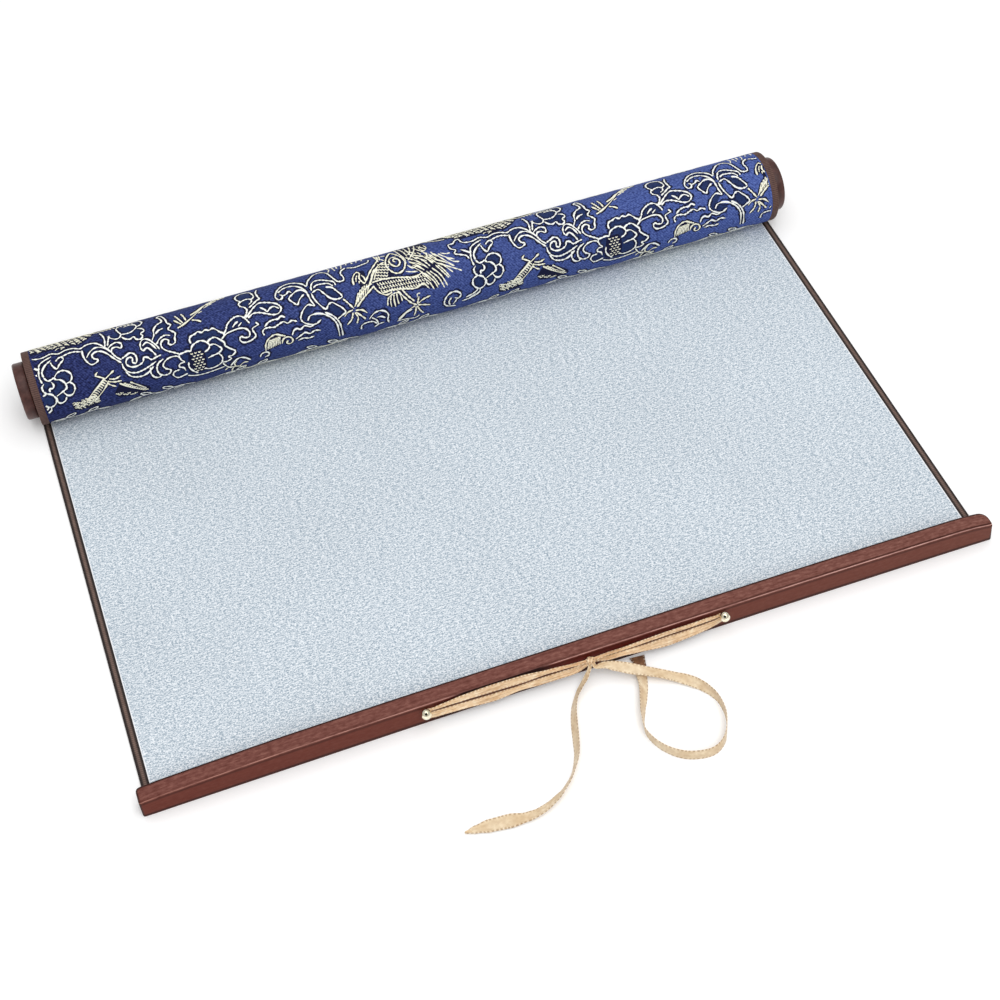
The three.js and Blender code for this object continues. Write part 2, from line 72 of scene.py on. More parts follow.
SEAM_X, HALF_SHEET = ends("edging_right_flat", "x")
HALF_LAYER = ends("brocade_flat", "x")[1]
SHEET_T = ends("writing_cloth_flat", "z")[1]
BROCADE_T = 0.5
CLOTH_FROM = 0.52
TUCK = -ends("brocade_flat", "y")[0]
FLAT = midpoint("roller_knob_right", "y")
ROLL_R = midpoint("roller_knob_right", "z")
OUTER_SHARE = 0.94
INNER_R = 18.83
INNER_TURNS = 3.8
PITCH = 1.35
ROD_D = 8.7
ROD_H = ends("hanging_rod", "z")[1]
ROD_HALF = -ends("hanging_rod", "x")[0]
NAIL_L = midpoint("hanger_nail_left", "x")
NAIL_R = midpoint("hanger_nail_right", "x")
NAIL_Z = midpoint("hanger_nail_left", "z")
KNOT = (midpoint("tie_knot", "x"), round(-ROD_D - midpoint("tie_knot", "y"), 2), midpoint("tie_knot", "z"))
RIBBON_W = 6.0
KNOB_X = ends("roller_rod", "x")[1]
KNOB_L = round(ends("roller_knob_right", "x")[1] - KNOB_X, 2)
KNOB_R = round(ends("roller_knob_right", "z")[1] - ROLL_R, 2)

WHITE = (1, 1, 1, 1)


def place(x, y, z):
    """A point of the part, from millimetres to metres in the shared frame."""
    return (x * MM, BACK + y * MM, z * MM)


def srgb(r, g, b):
    """A linear colour from 0 to 255 display values."""
    def one(v):
        v /= 255
        return v / 12.92 if v <= 0.04045 else ((v + 0.055) / 1.055) ** 2.4
    return (one(r), one(g), one(b), 1.0)


# Camera at the photograph's viewing angle: place in millimetres, turns in radians, focal length in pixels.
CAMERA_AT = (-177.95, -440.57, 715.44)
CAMERA_TURNS = (0.3107, 0.8959, -0.0507)
FOCAL_PIXELS = 1773.07
PICTURE_PIXELS = 1000
SENSOR_WIDTH = 36


def make_camera():
    yaw, pitch, roll = CAMERA_TURNS
    ahead = Vector((math.sin(yaw) * math.cos(pitch), math.cos(yaw) * math.cos(pitch), -math.sin(pitch)))
    right = Vector((math.cos(yaw), -math.sin(yaw), 0))
    up = right.cross(ahead)
    x_axis = math.cos(roll) * right + math.sin(roll) * up
    y_axis = -math.sin(roll) * right + math.cos(roll) * up
    data = bpy.data.cameras.new("camera")
    data.sensor_fit = "HORIZONTAL"
    data.sensor_width = SENSOR_WIDTH
    data.lens = SENSOR_WIDTH * FOCAL_PIXELS / PICTURE_PIXELS
    data.clip_start = 0.01
    data.clip_end = 50
    cam = bpy.data.objects.new("camera", data)
    scene.collection.objects.link(cam)
    turn = Matrix((x_axis, y_axis, -ahead)).transposed().to_4x4()
    turn.translation = Vector(place(*CAMERA_AT))
    cam.matrix_world = turn
    scene.camera = cam


# Meshes
def make_mesh(name, verts, faces, material, uvs=None, sharp=40):
    """A smooth mesh object with edges kept sharp above an angle in degrees."""
    mesh = bpy.data.meshes.new(name)
    mesh.from_pydata([tuple(v) for v in verts], [], [tuple(f) for f in faces])
    if uvs is not None:
        layer = mesh.uv_layers.new(name="UVMap")
        index = np.zeros(len(mesh.loops), np.int32)
        mesh.loops.foreach_get("vertex_index", index)
        layer.data.foreach_set("uv", np.asarray(uvs, np.float32)[index].ravel())
    mesh.polygons.foreach_set("use_smooth", [True] * len(mesh.polygons))
    mesh.set_sharp_from_angle(angle=math.radians(sharp))
    mesh.materials.append(material)
    mesh.update()
    obj = bpy.data.objects.new(name, mesh)
    scene.collection.objects.link(obj)
    return obj


def loft_faces(rings, sides):
    """The faces of a tube of rings with both ends closed; the ends come last."""
    faces = []
    for r in range(rings - 1):
        for s in range(sides):
            a, b = r * sides + s, r * sides + (s + 1) % sides
            faces.append((a, b, b + sides, a + sides))
    faces.append(tuple(range(sides - 1, -1, -1)))
    faces.append(tuple((rings - 1) * sides + s for s in range(sides)))
    return faces


def lathe(name, profile, segments, material, centre, axis):
    """A body turned from (radius, along) points, the first and last on the axis."""
    axis = Vector(axis).normalized()
    side = axis.orthogonal().normalized()
    other = axis.cross(side)
    verts, uvs, rows = [], [], []
    for radius, along in profile:
        if radius < 1e-6:
            rows.append([len(verts)])
            verts.append(Vector(centre) + axis * along * MM)
            uvs.append((0, along))
            continue
        row = []
        for k in range(segments):
            turn = 2 * math.pi * k / segments
            row.append(len(verts))
            verts.append(Vector(centre) + axis * along * MM
                         + (side * math.cos(turn) + other * math.sin(turn)) * radius * MM)
            uvs.append((radius * turn, along))
        rows.append(row)
    faces = []
    for low, high in zip(rows, rows[1:]):
        for k in range(segments):
            n = (k + 1) % segments
            if len(low) == 1:
                faces.append((low[0], high[n], high[k]))
            elif len(high) == 1:
                faces.append((low[k], low[n], high[0]))
            else:
                faces.append((low[k], low[n], high[n], high[k]))
    return make_mesh(name, verts, faces, material, uvs, sharp=50)


# Material helpers
def new_material(name):
    mat = bpy.data.materials.new(name)
    mat.use_nodes = True
    tree = mat.node_tree
    return mat, tree, tree.nodes["Principled BSDF"]


def set_inputs(tree, node, inputs):
    """Sets a node's inputs by name or number, each linked to a socket or set to a plain value."""
    for key, value in inputs.items():
        if isinstance(value, bpy.types.NodeSocket):
            tree.links.new(value, node.inputs[key])
        else:
            node.inputs[key].default_value = value


def add(tree, kind, inputs=None, **settings):
    made = tree.nodes.new(kind)
    for key, value in settings.items():
        setattr(made, key, value)
    set_inputs(tree, made, inputs or {})
    return made


def ramp(tree, factor, stops):
    made = add(tree, "ShaderNodeValToRGB", {"Fac": factor})
    elements = made.color_ramp.elements
    while len(elements) < len(stops):
        elements.new(0.5)
    for element, (at, color) in zip(elements, stops):
        element.position = at
        element.color = color
    return made.outputs["Color"]


def mixed(tree, factor, a, b, blend="MIX"):
    return add(tree, "ShaderNodeMix", {0: factor, 6: a, 7: b}, data_type="RGBA", blend_type=blend).outputs[2]


def tinted(tree, color, tint):
    return mixed(tree, 1.0, color, tint, "MULTIPLY")


def maths(tree, operation, a, b=0.0, clamp=False):
    return add(tree, "ShaderNodeMath", {0: a, 1: b}, operation=operation, use_clamp=clamp).outputs[0]


def times(tree, a, b):
    return maths(tree, "MULTIPLY", a, b)


def weighted(tree, a, a_weight, b, b_weight):
    return maths(tree, "ADD", times(tree, a, a_weight), times(tree, b, b_weight))


def span(tree, value, low, high, at_low=0.0, at_high=1.0):
    """The value carried from low to high over to at_low to at_high, and held there beyond."""
    return add(tree, "ShaderNodeMapRange", {0: value, 1: low, 2: high, 3: at_low, 4: at_high}).outputs[0]


def band(tree, value, low, high, soft):
    """1 where the value lies between low and high, with soft ends."""
    return times(tree, span(tree, value, low - soft, low), span(tree, value, high, high + soft, 1.0, 0.0))


def coordinates(tree, source):
    return add(tree, "ShaderNodeTexCoord").outputs[source]


def uv_parts(tree):
    split = add(tree, "ShaderNodeSeparateXYZ", {0: coordinates(tree, "UV")})
    return split.outputs[0], split.outputs[1]


def mapped(tree, source, scale, turn=(0, 0, 0)):
    return add(tree, "ShaderNodeMapping",
               {"Vector": coordinates(tree, source), "Scale": scale, "Rotation": turn}).outputs["Vector"]


def noise(tree, source, stretch, detail=2.0, rough=0.5, scale=1.0):
    """Noise over UV or Object coordinates that are stretched by a factor along each axis."""
    return add(tree, "ShaderNodeTexNoise", {"Vector": mapped(tree, source, stretch), "Scale": scale,
                                            "Detail": detail, "Roughness": rough}).outputs["Fac"]


def bump(tree, bsdf, height, strength, distance):
    made = add(tree, "ShaderNodeBump", {"Height": height, "Strength": strength, "Distance": distance})
    tree.links.new(made.outputs["Normal"], bsdf.inputs["Normal"])


# Materials
def cloth_material():
    """Pale grey-blue writing cloth with a fine speckle that runs a little along X, and a pale selvage."""
    mat, tree, bsdf = new_material("writing_cloth")
    fine = noise(tree, "UV", (1.08, 1.75, 1), 2.0, 0.75)
    streak = noise(tree, "UV", (0.36, 1.05, 1), 2.0, 0.6)
    broad = noise(tree, "UV", (0.012, 0.012, 1))
    speckle = weighted(tree, fine, 0.7, streak, 0.3)
    color = ramp(tree, speckle, [(0.42, srgb(148, 164, 178)), (0.5, srgb(200, 211, 220)),
                                 (0.58, srgb(244, 248, 252))])
    shade = ramp(tree, broad, [(0.3, (0.95, 0.95, 0.95, 1)), (0.7, WHITE)])
    side, _ = uv_parts(tree)
    selvage = band(tree, maths(tree, "ABSOLUTE", side), HALF_LAYER - 0.4, HALF_LAYER + 1.0, 0.15)
    color = mixed(tree, times(tree, selvage, 0.75), tinted(tree, color, shade), srgb(252, 252, 254))
    set_inputs(tree, bsdf, {"Base Color": color, "Roughness": 0.92, "Specular IOR Level": 0.2})
    bump(tree, bsdf, speckle, 0.25, 0.0004)
    return mat


def brocade_material():
    """Deep blue satin with a fine diagonal twill, paler towards the +x end, which is painted light."""
    mat, tree, bsdf = new_material("brocade_ground")
    twill = add(tree, "ShaderNodeTexWave",
                {"Vector": mapped(tree, "UV", (1, 1, 1), (0, 0, math.radians(35))), "Scale": 0.27,
                 "Distortion": 2.0, "Detail": 1.0, "Detail Scale": 1.0}, wave_type="BANDS").outputs["Fac"]
    patch = noise(tree, "UV", (0.7, 0.9, 1), 3.0)
    worn = weighted(tree, twill, 0.1, patch, 0.9)
    deep = ramp(tree, worn, [(0.34, srgb(10, 14, 46)), (0.5, srgb(32, 39, 88)), (0.66, srgb(57, 67, 120))])
    pale = ramp(tree, worn, [(0.34, srgb(52, 67, 124)), (0.5, srgb(73, 92, 159)), (0.66, srgb(96, 117, 181))])
    # The ground grows paler from -x to +x: painted light and sheen.
    side, _ = uv_parts(tree)
    share = span(tree, side, -HALF_SHEET, HALF_SHEET)
    set_inputs(tree, bsdf, {"Base Color": mixed(tree, share, deep, pale), "Roughness": 0.7,
                            "Specular IOR Level": 0.12})
    bump(tree, bsdf, twill, 0.12, 0.0002)
    return mat


def thread_material(name, low, high, roughness):
    """A woven thread or ground patch of the brocade, broken up along its weft."""
    mat, tree, bsdf = new_material(name)
    grain = noise(tree, "Object", (900, 1700, 1700), 2.0, 0.6)
    color = ramp(tree, grain, [(0.3, low), (0.7, high)])
    set_inputs(tree, bsdf, {"Base Color": color, "Roughness": roughness, "Specular IOR Level": 0.15})
    bump(tree, bsdf, grain, 0.4, 0.0002)
    return mat


def edging_material(name, low, high, middle=None):
    """Dark brown woven tape with fine ribs, worn paler along its middle if so asked."""
    mat, tree, bsdf = new_material(name)
    rib = add(tree, "ShaderNodeTexWave",
              {"Vector": mapped(tree, "UV", (1, 1, 1)), "Scale": 0.28, "Distortion": 0.5},
              wave_type="BANDS", bands_direction="Y").outputs["Fac"]
    patch = noise(tree, "UV", (0.8, 0.25, 1), 3.0)
    both = weighted(tree, rib, 0.4, patch, 0.6)
    color = ramp(tree, both, [(0.25, low), (0.75, high)])
    if middle:
        side, _ = uv_parts(tree)
        worn = band(tree, maths(tree, "ABSOLUTE", side), SEAM_X + 1.5, HALF_SHEET - 1.7, 0.7)
        color = mixed(tree, worn, color, ramp(tree, both, [(0.25, middle[0]), (0.75, middle[1])]))
    set_inputs(tree, bsdf, {"Base Color": color, "Roughness": 0.8})
    bump(tree, bsdf, rib, 0.3, 0.0002)
    return mat


def wood_material(name, dark, mid, light, rough, along=(3, 140, 140)):
    """Stained wood with long grain, pores and a waxed surface."""
    mat, tree, bsdf = new_material(name)
    x, y, z = along
    grain = noise(tree, "Object", along, 5.0, 0.6, 4.0)
    pores = noise(tree, "Object", (x * 9, y * 9, z * 9), 2.0, 0.6, 2.0)
    broad = noise(tree, "Object", (x * 1.3, y * 0.3, z * 0.3))
    color = ramp(tree, grain, [(0.3, dark), (0.52, mid), (0.75, light)])
    shade = ramp(tree, broad, [(0.3, (0.86, 0.84, 0.83, 1)), (0.7, (1.08, 1.06, 1.05, 1))])
    color = tinted(tree, color, shade)
    pit = ramp(tree, pores, [(0.36, (0.72, 0.68, 0.66, 1)), (0.46, WHITE)])
    set_inputs(tree, bsdf, {"Base Color": mixed(tree, 0.6, color, pit, "MULTIPLY"),
                            "Roughness": maths(tree, "ADD", times(tree, grain, 0.18), rough - 0.09),
                            "Specular IOR Level": 0.4, "Coat Weight": 0.06, "Coat Roughness": 0.3})
    bump(tree, bsdf, maths(tree, "ADD", grain, pores), 0.12, 0.0003)
    return mat


# Places round the rod's section, which are its second texture coordinate, and stretches along it, the first.
BACK_EDGE = 24.0
FRONT_EDGE = 35.0
FOOT = 50.0
# Spans along the rod, in mm, of painted shade behind the ribbons and in the gap under the upper strand's top
# edge.
BEHIND_RIBBON = (-72.0, 60.0)
RIBBON_GAP_SHADE = (-62.0, -24.0)


def rod_material():
    """Stained wood, with a painted highlight on its front edge and painted shade on its faces and edges."""
    mat, tree, bsdf = new_material("rod_wood")
    along, around = uv_parts(tree)
    share = span(tree, along, -HALF_SHEET, HALF_SHEET)
    mottle = noise(tree, "UV", (0.3, 0.6, 1), 3.0, 0.65)
    streak = noise(tree, "UV", (0.03, 0.7, 1), 4.0, 0.6)
    grain = weighted(tree, mottle, 0.65, streak, 0.35)
    # Tones a little paler towards the right end: painted light.
    left = ramp(tree, grain, [(0.36, srgb(92, 48, 41)), (0.5, srgb(113, 67, 59)), (0.64, srgb(133, 86, 76))])
    right = ramp(tree, grain, [(0.36, srgb(97, 56, 48)), (0.5, srgb(117, 73, 64)), (0.64, srgb(137, 93, 83))])
    color = mixed(tree, share, left, right)

    # Lays a band of painted highlight or painted shade round the rod's section.
    def painted_band(low, high, soft, weight, tone):
        return mixed(tree, times(tree, band(tree, around, low, high, soft), weight), color, tone)

    behind = band(tree, along, *BEHIND_RIBBON, 8.0)
    gap_shade = band(tree, along, *RIBBON_GAP_SHADE, 8.0)
    # A painted highlight along the front edge, paler to the right, broken up along the rod and left out in
    # the ribbon's gap.
    broken = span(tree, noise(tree, "UV", (0.09, 0.3, 1)), 0.36, 0.6, 0.35, 1.0)
    bare = times(tree, broken, maths(tree, "SUBTRACT", 1.0, gap_shade))
    edge_highlight = mixed(tree, share, srgb(176, 124, 108), srgb(226, 182, 172))
    # Painted shade: the front face drawn darker and redder than the top, a little paler to the right.
    face = mixed(tree, share, srgb(99, 31, 9), srgb(106, 50, 34))
    color = painted_band(FRONT_EDGE + 2, FOOT + 2, 0.5, 0.68, face)
    # Painted shade on the front face behind the ribbons.
    color = painted_band(FRONT_EDGE + 1.6, FOOT - 4, 1.0, times(tree, behind, 0.85), srgb(86, 14, 5))
    # Painted shade: dark lines along the back edge and just under the front edge.
    color = painted_band(BACK_EDGE - 1, BACK_EDGE + 2.2, 0.5, 0.85, srgb(36, 15, 12))
    color = painted_band(FRONT_EDGE + 1.6, FRONT_EDGE + 2.6, 0.8, 0.6, srgb(54, 16, 9))
    # Painted shade along the foot, where the rod meets the table.
    color = painted_band(FOOT - 1.4, FOOT + 2, 0.6, 0.75, srgb(36, 17, 13))
    tips = band(tree, maths(tree, "ABSOLUTE", along), ROD_HALF - 0.7, ROD_HALF + 2.5, 0.4)
    color = mixed(tree, times(tree, tips, 0.7), color, srgb(40, 18, 14))
    # Painted shade along the foot behind the ribbons.
    color = painted_band(FOOT - 4, FOOT + 2, 1.5, times(tree, behind, 0.6), srgb(36, 14, 7))
    # Painted shade: a dark line just behind the front edge, towards the right end.
    color = painted_band(FRONT_EDGE - 1.1, FRONT_EDGE - 0.4, 0.25, times(tree, share, 0.85), srgb(52, 20, 14))
    color = painted_band(FRONT_EDGE + 0.2, FRONT_EDGE + 0.5, 0.15, bare, edge_highlight)
    # Painted shade in the gap under the upper strand's top edge, where the highlight is left out.
    color = painted_band(FRONT_EDGE + 0.2, FRONT_EDGE + 3, 0.4, gap_shade, srgb(36, 10, 7))
    set_inputs(tree, bsdf, {"Base Color": color, "Specular IOR Level": 0.12,
                            "Roughness": maths(tree, "ADD", times(tree, grain, 0.2), 0.38)})
    bump(tree, bsdf, grain, 0.15, 0.0003)
    return mat


def ribbon_material(name, low, mid, high, pleats=0.0):
    """Tan satin ribbon, fine cross ribs and a dotted woven edge; painted shade in gathered creases and inner
    edges.
    """
    mat, tree, bsdf = new_material(name)
    along, across = uv_parts(tree)
    from_middle = maths(tree, "ABSOLUTE", across)
    edge = span(tree, from_middle, 0.7, 0.84)
    wander = maths(tree, "ADD", along, times(tree, noise(tree, "UV", (0.2, 1, 1)), 3.0))
    dots = maths(tree, "GREATER_THAN", maths(tree, "SINE", times(tree, wander, 3.3)), 0.1)
    ribs = maths(tree, "SINE", times(tree, along, 12.0))
    body = ramp(tree, noise(tree, "UV", (0.35, 1.2, 1), 3.0), [(0.28, low), (0.5, mid), (0.72, high)])
    # Broad random changes of tone along the ribbon.
    along_tone = noise(tree, "UV", (0.07, 0.25, 1), 1.0)
    body = tinted(tree, body, ramp(tree, along_tone, [(0.34, srgb(240, 231, 219)), (0.62, WHITE)]))
    dotted = mixed(tree, dots, tinted(tree, body, srgb(172, 146, 118)),
                   mixed(tree, 0.6, body, srgb(252, 240, 216)))
    color = mixed(tree, times(tree, edge, 0.55), body, dotted)
    if pleats:
        # Painted shade streaked along the creases of gathered ribbon.
        pleat_shade = span(tree, noise(tree, "UV", (0.045, 2.4, 1)), 0.5, 0.66, 0.0, pleats)
        color = mixed(tree, pleat_shade, color, tinted(tree, body, srgb(176, 140, 100)))
    # Painted shade where the across value is pushed past 1: the strands' inner edges and the knot's creases.
    inner_edge_shade = span(tree, from_middle, 1.02, 1.14, 0.0, 0.85)
    color = mixed(tree, inner_edge_shade, color, tinted(tree, body, srgb(122, 78, 40)))
    set_inputs(tree, bsdf, {"Base Color": color, "Roughness": 0.5, "Sheen Weight": 0.2})
    bump(tree, bsdf, maths(tree, "ADD", ribs, times(tree, times(tree, dots, edge), 2.0)), 0.25, 0.0002)
    return mat


def brass_material():
    """Polished pale brass with a faint tarnish."""
    mat, tree, bsdf = new_material("nail_brass")
    patch = noise(tree, "Object", (700, 700, 700), 3.0)
    color = ramp(tree, patch, [(0.3, srgb(238, 226, 190)), (0.7, srgb(253, 249, 232))])
    set_inputs(tree, bsdf, {"Base Color": color, "Metallic": 1.0,
                            "Roughness": maths(tree, "ADD", times(tree, patch, 0.1), 0.03)})
    return mat


# Ribbon
RIBBON_T = 0.24
RIBBON_COLUMNS = 11
STEPS_PER_STATION = 6
SLIT_REACH = 26.0
SLIT_SHADE = 0.25
PLEAT_DEPTH, PLEAT_HALF_WAVES, PLEAT_PHASE = 0.45, 2.6, 1.1
CUP_DEPTH, CUP_LEVEL = 0.1, 0.4
TAIL_GAP = 0.35
TAIL_T = 0.35
END_SHADE_ROWS = 9
KNOT_HALVES = (2.1, 1.75, 1.8)


def curve_point(points, t):
    """A point of the smooth curve through the points, t from 0 to 1, the same curve as in the CAD source."""
    last = len(points) - 1
    p = last * t
    i = min(int(math.floor(p)), last - 1)
    w = p - i
    p1, p2 = points[i], points[i + 1]
    p0 = points[i - 1] if i > 0 else 2 * points[0] - points[1]
    p3 = points[i + 2] if i + 2 <= last else 2 * points[last] - points[last - 1]
    d0, d1, d2 = ((b - a).length ** 0.5 for a, b in ((p0, p1), (p1, p2), (p2, p3)))
    t1 = ((p1 - p0) / d0 - (p2 - p0) / (d0 + d1) + (p2 - p1) / d1) * d1
    t2 = ((p2 - p1) / d1 - (p3 - p1) / (d1 + d2) + (p3 - p2) / d2) * d1
    return p1 + t1 * w + (3 * (p2 - p1) - 2 * t1 - t2) * w ** 2 + (2 * (p1 - p2) + t1 + t2) * w ** 3


def ribbon(name, stations, material, shaded=0):
    """A flat ribbon along stations (x, ahead, z, tilt, width), gathered in pleats where it is narrow.

    Shaded is the edge, -1 or 1, that is turned in to the other strand; the material paints shade along it.
    """
    points = [Vector((s[0], -ROD_D - s[1], s[2])) for s in stations]
    spans = len(stations) - 1
    steps = spans * STEPS_PER_STATION
    verts, uvs, path = [], [], []
    length = 0.0
    before = None
    for step in range(steps + 1):
        t = step / steps
        i = min(int(t * spans), spans - 1)
        share = t * spans - i
        ease = share * share * (3 - 2 * share)
        tilt = math.radians(stations[i][3] + (stations[i + 1][3] - stations[i][3]) * ease)
        width = stations[i][4] + (stations[i + 1][4] - stations[i][4]) * ease
        centre = curve_point(points, t)
        along = curve_point(points, min(1, t + 1e-3)) - curve_point(points, max(0, t - 1e-3))
        along.normalize()
        level = Vector((0, 0, 1)).cross(along).normalized()
        rise = along.cross(level)
        across = math.cos(tilt) * rise + math.sin(tilt) * level
        through = along.cross(across)
        if before is not None:
            length += (centre - before).length
        before = centre
        path.append(place(*centre))
        gathered = max(0.0, 1 - width / RIBBON_W)
        # The painted shade on the inner edge fades out towards the knot.
        slit = min(1.0, abs(centre.x - KNOT[0]) / SLIT_REACH)
        for face in (1, -1):
            for column in range(RIBBON_COLUMNS)[::face]:
                a = 2 * column / (RIBBON_COLUMNS - 1) - 1
                pleat = (PLEAT_DEPTH * gathered * math.sin(PLEAT_HALF_WAVES * math.pi * a + PLEAT_PHASE)
                         + CUP_DEPTH * (1 - gathered) * (a * a - CUP_LEVEL))
                at = centre + across * (a * width / 2) + through * (pleat + face * RIBBON_T / 2)
                verts.append(place(*at))
                uvs.append((length, a * (1 + SLIT_SHADE * slit) if a * shaded > 0 else a))
    obj = make_mesh(name, verts, loft_faces(steps + 1, 2 * RIBBON_COLUMNS), material, uvs, sharp=60)
    return obj, path, length


def rest_height(lift, tilt, width):
    """The height of the middle of a tilted ribbon that lies on the table, or is lifted from it."""
    turn = math.radians(tilt)
    return TAIL_GAP + (width * abs(math.cos(turn)) + TAIL_T * abs(math.sin(turn))) / 2 + lift


UPPER_STRAND = [
    (NAIL_L + 1.3, 0.7, NAIL_Z + 0.5, 4, 0.9), (NAIL_L + 3.2, 0.85, 11.5, 8, 1.6),
    (NAIL_L + 9, 1.1, 12.1, 10, 2.4), (NAIL_L + 19, 1.2, 12.8, 12, 3.9), (-48, 1.25, 12.9, 12, 4.9),
    (-34, 1.3, 12.4, 12, 5), (-20, 1.6, 12.1, 20, 2.4), (-9, 2, 11.6, 45, 1.6),
    (KNOT[0] - 3, 2.2, KNOT[2] + 0.6, 90, 1.7), (KNOT[0], 2.2, KNOT[2] + 0.6, 90, 1.6),
    (KNOT[0] + 3, 2.2, KNOT[2] + 0.6, 90, 1.7), (9.5, 2, 11.6, 45, 1.5), (17, 1.7, 11.1, 25, 1.5),
    (28, 1.4, 11, 14, 2.2), (40, 1.3, 11.3, 12, 2.4), (54, 1.2, 11.2, 12, 2.4),
    (NAIL_R - 9, 1.1, 11.4, 10, 2.5), (NAIL_R - 3.2, 0.85, 11.2, 8, 2),
    (NAIL_R - 1.3, 0.7, NAIL_Z + 0.5, 4, 0.9),
]
LOWER_STRAND = [
    (NAIL_L, 0.7, 8.2, 4, 4.2), (NAIL_L + 3.2, 0.9, 7.1, 8, 4.8), (NAIL_L + 9, 1.5, 7.5, 18, 4.1),
    (NAIL_L + 19, 2, 7.7, 22, 4), (-48, 2.2, 6.8, 20, 4.8), (-35, 2.3, 7.5, 22, 3.3),
    (-24, 2.3, 7.3, 25, 4.1), (-13, 2.5, 7.3, 34, 3.7), (-7, 2.7, 7.6, 44, 3.3),
    (KNOT[0] - 3, 2.5, KNOT[2] - 1.3, 66, 2.6), (KNOT[0], 2.2, KNOT[2] - 0.6, 90, 1.6),
    (KNOT[0] + 3, 2.2, KNOT[2] - 0.6, 90, 1.7), (9.5, 2.4, 8.7, 50, 2.4), (17, 2.4, 8.4, 34, 2.8),
    (27, 2.4, 7.3, 28, 3.8), (40, 2.5, 6.6, 28, 5.3), (53, 2.4, 7, 26, 4.6), (NAIL_R - 9, 1.6, 6.7, 20, 4.3),
    (NAIL_R - 3.2, 0.9, 6.8, 8, 4.2), (NAIL_R, 0.7, 8.1, 4, 4.2),
]
# Tails: (x, ahead, lift, tilt, width); a tail lies on the table except where it is lifted.
FREE_TAIL = [
    (-0.7, 4.9, 7.2, 60, 2.2), (-3.5, 7.2, 3.8, 54, 3.6), (-7.4, 10.2, 1.6, 42, 4.2),
    (-11, 14, 0.4, 30, 4.6), (-14.4, 19.8, 0, 30, 5.2), (-17.1, 27.3, 0, 33, 5.4), (-19.4, 35.1, 0, 32, 5.4),
    (-22, 42.8, 0, 27, 5.4), (-26.9, 50.8, 0, 20, 5.2), (-32.9, 56.7, 0, 30, 5), (-39.8, 60.8, 0, 52, 4.8),
    (-47.7, 63.5, 0, 70, 4.8), (-54.6, 63.9, 0, 84, 5.2), (-62.4, 62.9, 0, 90, 7.2),
    (-71.7, 61.9, 0, 90, 6.6), (-78, 61.4, 0, 90, 4.2), (-83.4, 61.2, 0, 90, 1.2),
]
LOOP_TAIL = [
    (2.4, 4.9, 7.6, 60, 2), (6.6, 5.4, 7.2, 62, 3.2), (11.5, 7.3, 6.2, 66, 4.8), (18, 10.1, 4.9, 80, 5.8),
    (24.6, 13, 3.7, 90, 5.4), (30.9, 16.3, 2.6, 94, 5.2), (37.2, 19.8, 1.4, 90, 5.2),
    (42.9, 24.6, 0.4, 58, 5.2), (46.8, 29.4, 0, 28, 5.4), (49.6, 34.6, 0, 12, 5.6), (51.1, 39.8, 0, 4, 5.6),
    (50.8, 47.7, 0, 1, 5.6), (48.2, 54.6, 0, -4, 5.6), (44, 60.8, 0, -10, 5.6), (37.9, 64.1, 0, -13, 5.6),
    (29.6, 63.4, 0, -13, 5.6), (22.4, 60.1, 0, -10, 5.6), (16.4, 54.1, 0, -4, 5.6), (13.2, 47.9, 0, 0, 5.6),
    (12.1, 42.6, 0, 4, 5.6), (13.4, 37.2, 0, 14, 5.4), (15.8, 31, 0, 28, 5.4), (18.8, 24.8, 0, 42, 5.4),
    (21.4, 18.4, 0, 56, 5.4), (22.8, 13, 0, 70, 5.6), (24.8, 6.2, 0, 84, 6), (25.2, 1.9, 0, 90, 7.4),
]
FREE_START = (0.4, 3.2, 9.9, 60, 1.9)
LOOP_START = (1.6, 3.2, 10.3, 60, 1.9)


def lay_tail(start, stations):
    """A tail from inside the knot, each station at the height at which it rests."""
    return [start] + [(x, ahead, rest_height(lift, tilt, width), tilt, width)
                      for x, ahead, lift, tilt, width in stations]


def make_knot(material):
    """The tie's knot: a small gathered ball of ribbon with its turns showing, painted shade in the creases.
    """
    rows, columns = 18, 28
    half_x, half_y, half_z = KNOT_HALVES
    verts, uvs = [], []
    for r in range(rows + 1):
        lat = math.pi * (r / rows - 0.5)
        for c in range(columns):
            lon = 2 * math.pi * c / columns
            wrap = 0.17 * math.sin(3 * lon + 6 * lat) + 0.1 * math.sin(9 * lat - 2 * lon)
            size = 1 + wrap * math.cos(lat)
            full = math.cos(lat) ** 0.6
            round_y = math.copysign(abs(math.cos(lon)) ** 0.8, math.cos(lon)) * full
            round_z = math.copysign(abs(math.sin(lon)) ** 0.8, math.sin(lon)) * full
            verts.append(place(KNOT[0] + half_x * size * math.sin(lat),
                               -ROD_D - KNOT[1] + half_y * size * round_y,
                               KNOT[2] + half_z * size * round_z))
            # Creases get an across value of 1.16, which the ribbon material paints dark: painted shade.
            uvs.append((lon * 2, 1.16 if wrap < -0.1 else 0.9 * math.sin(lat)))
    return make_mesh("tie_knot_wraps", verts, loft_faces(rows + 1, columns), material, uvs, sharp=70)


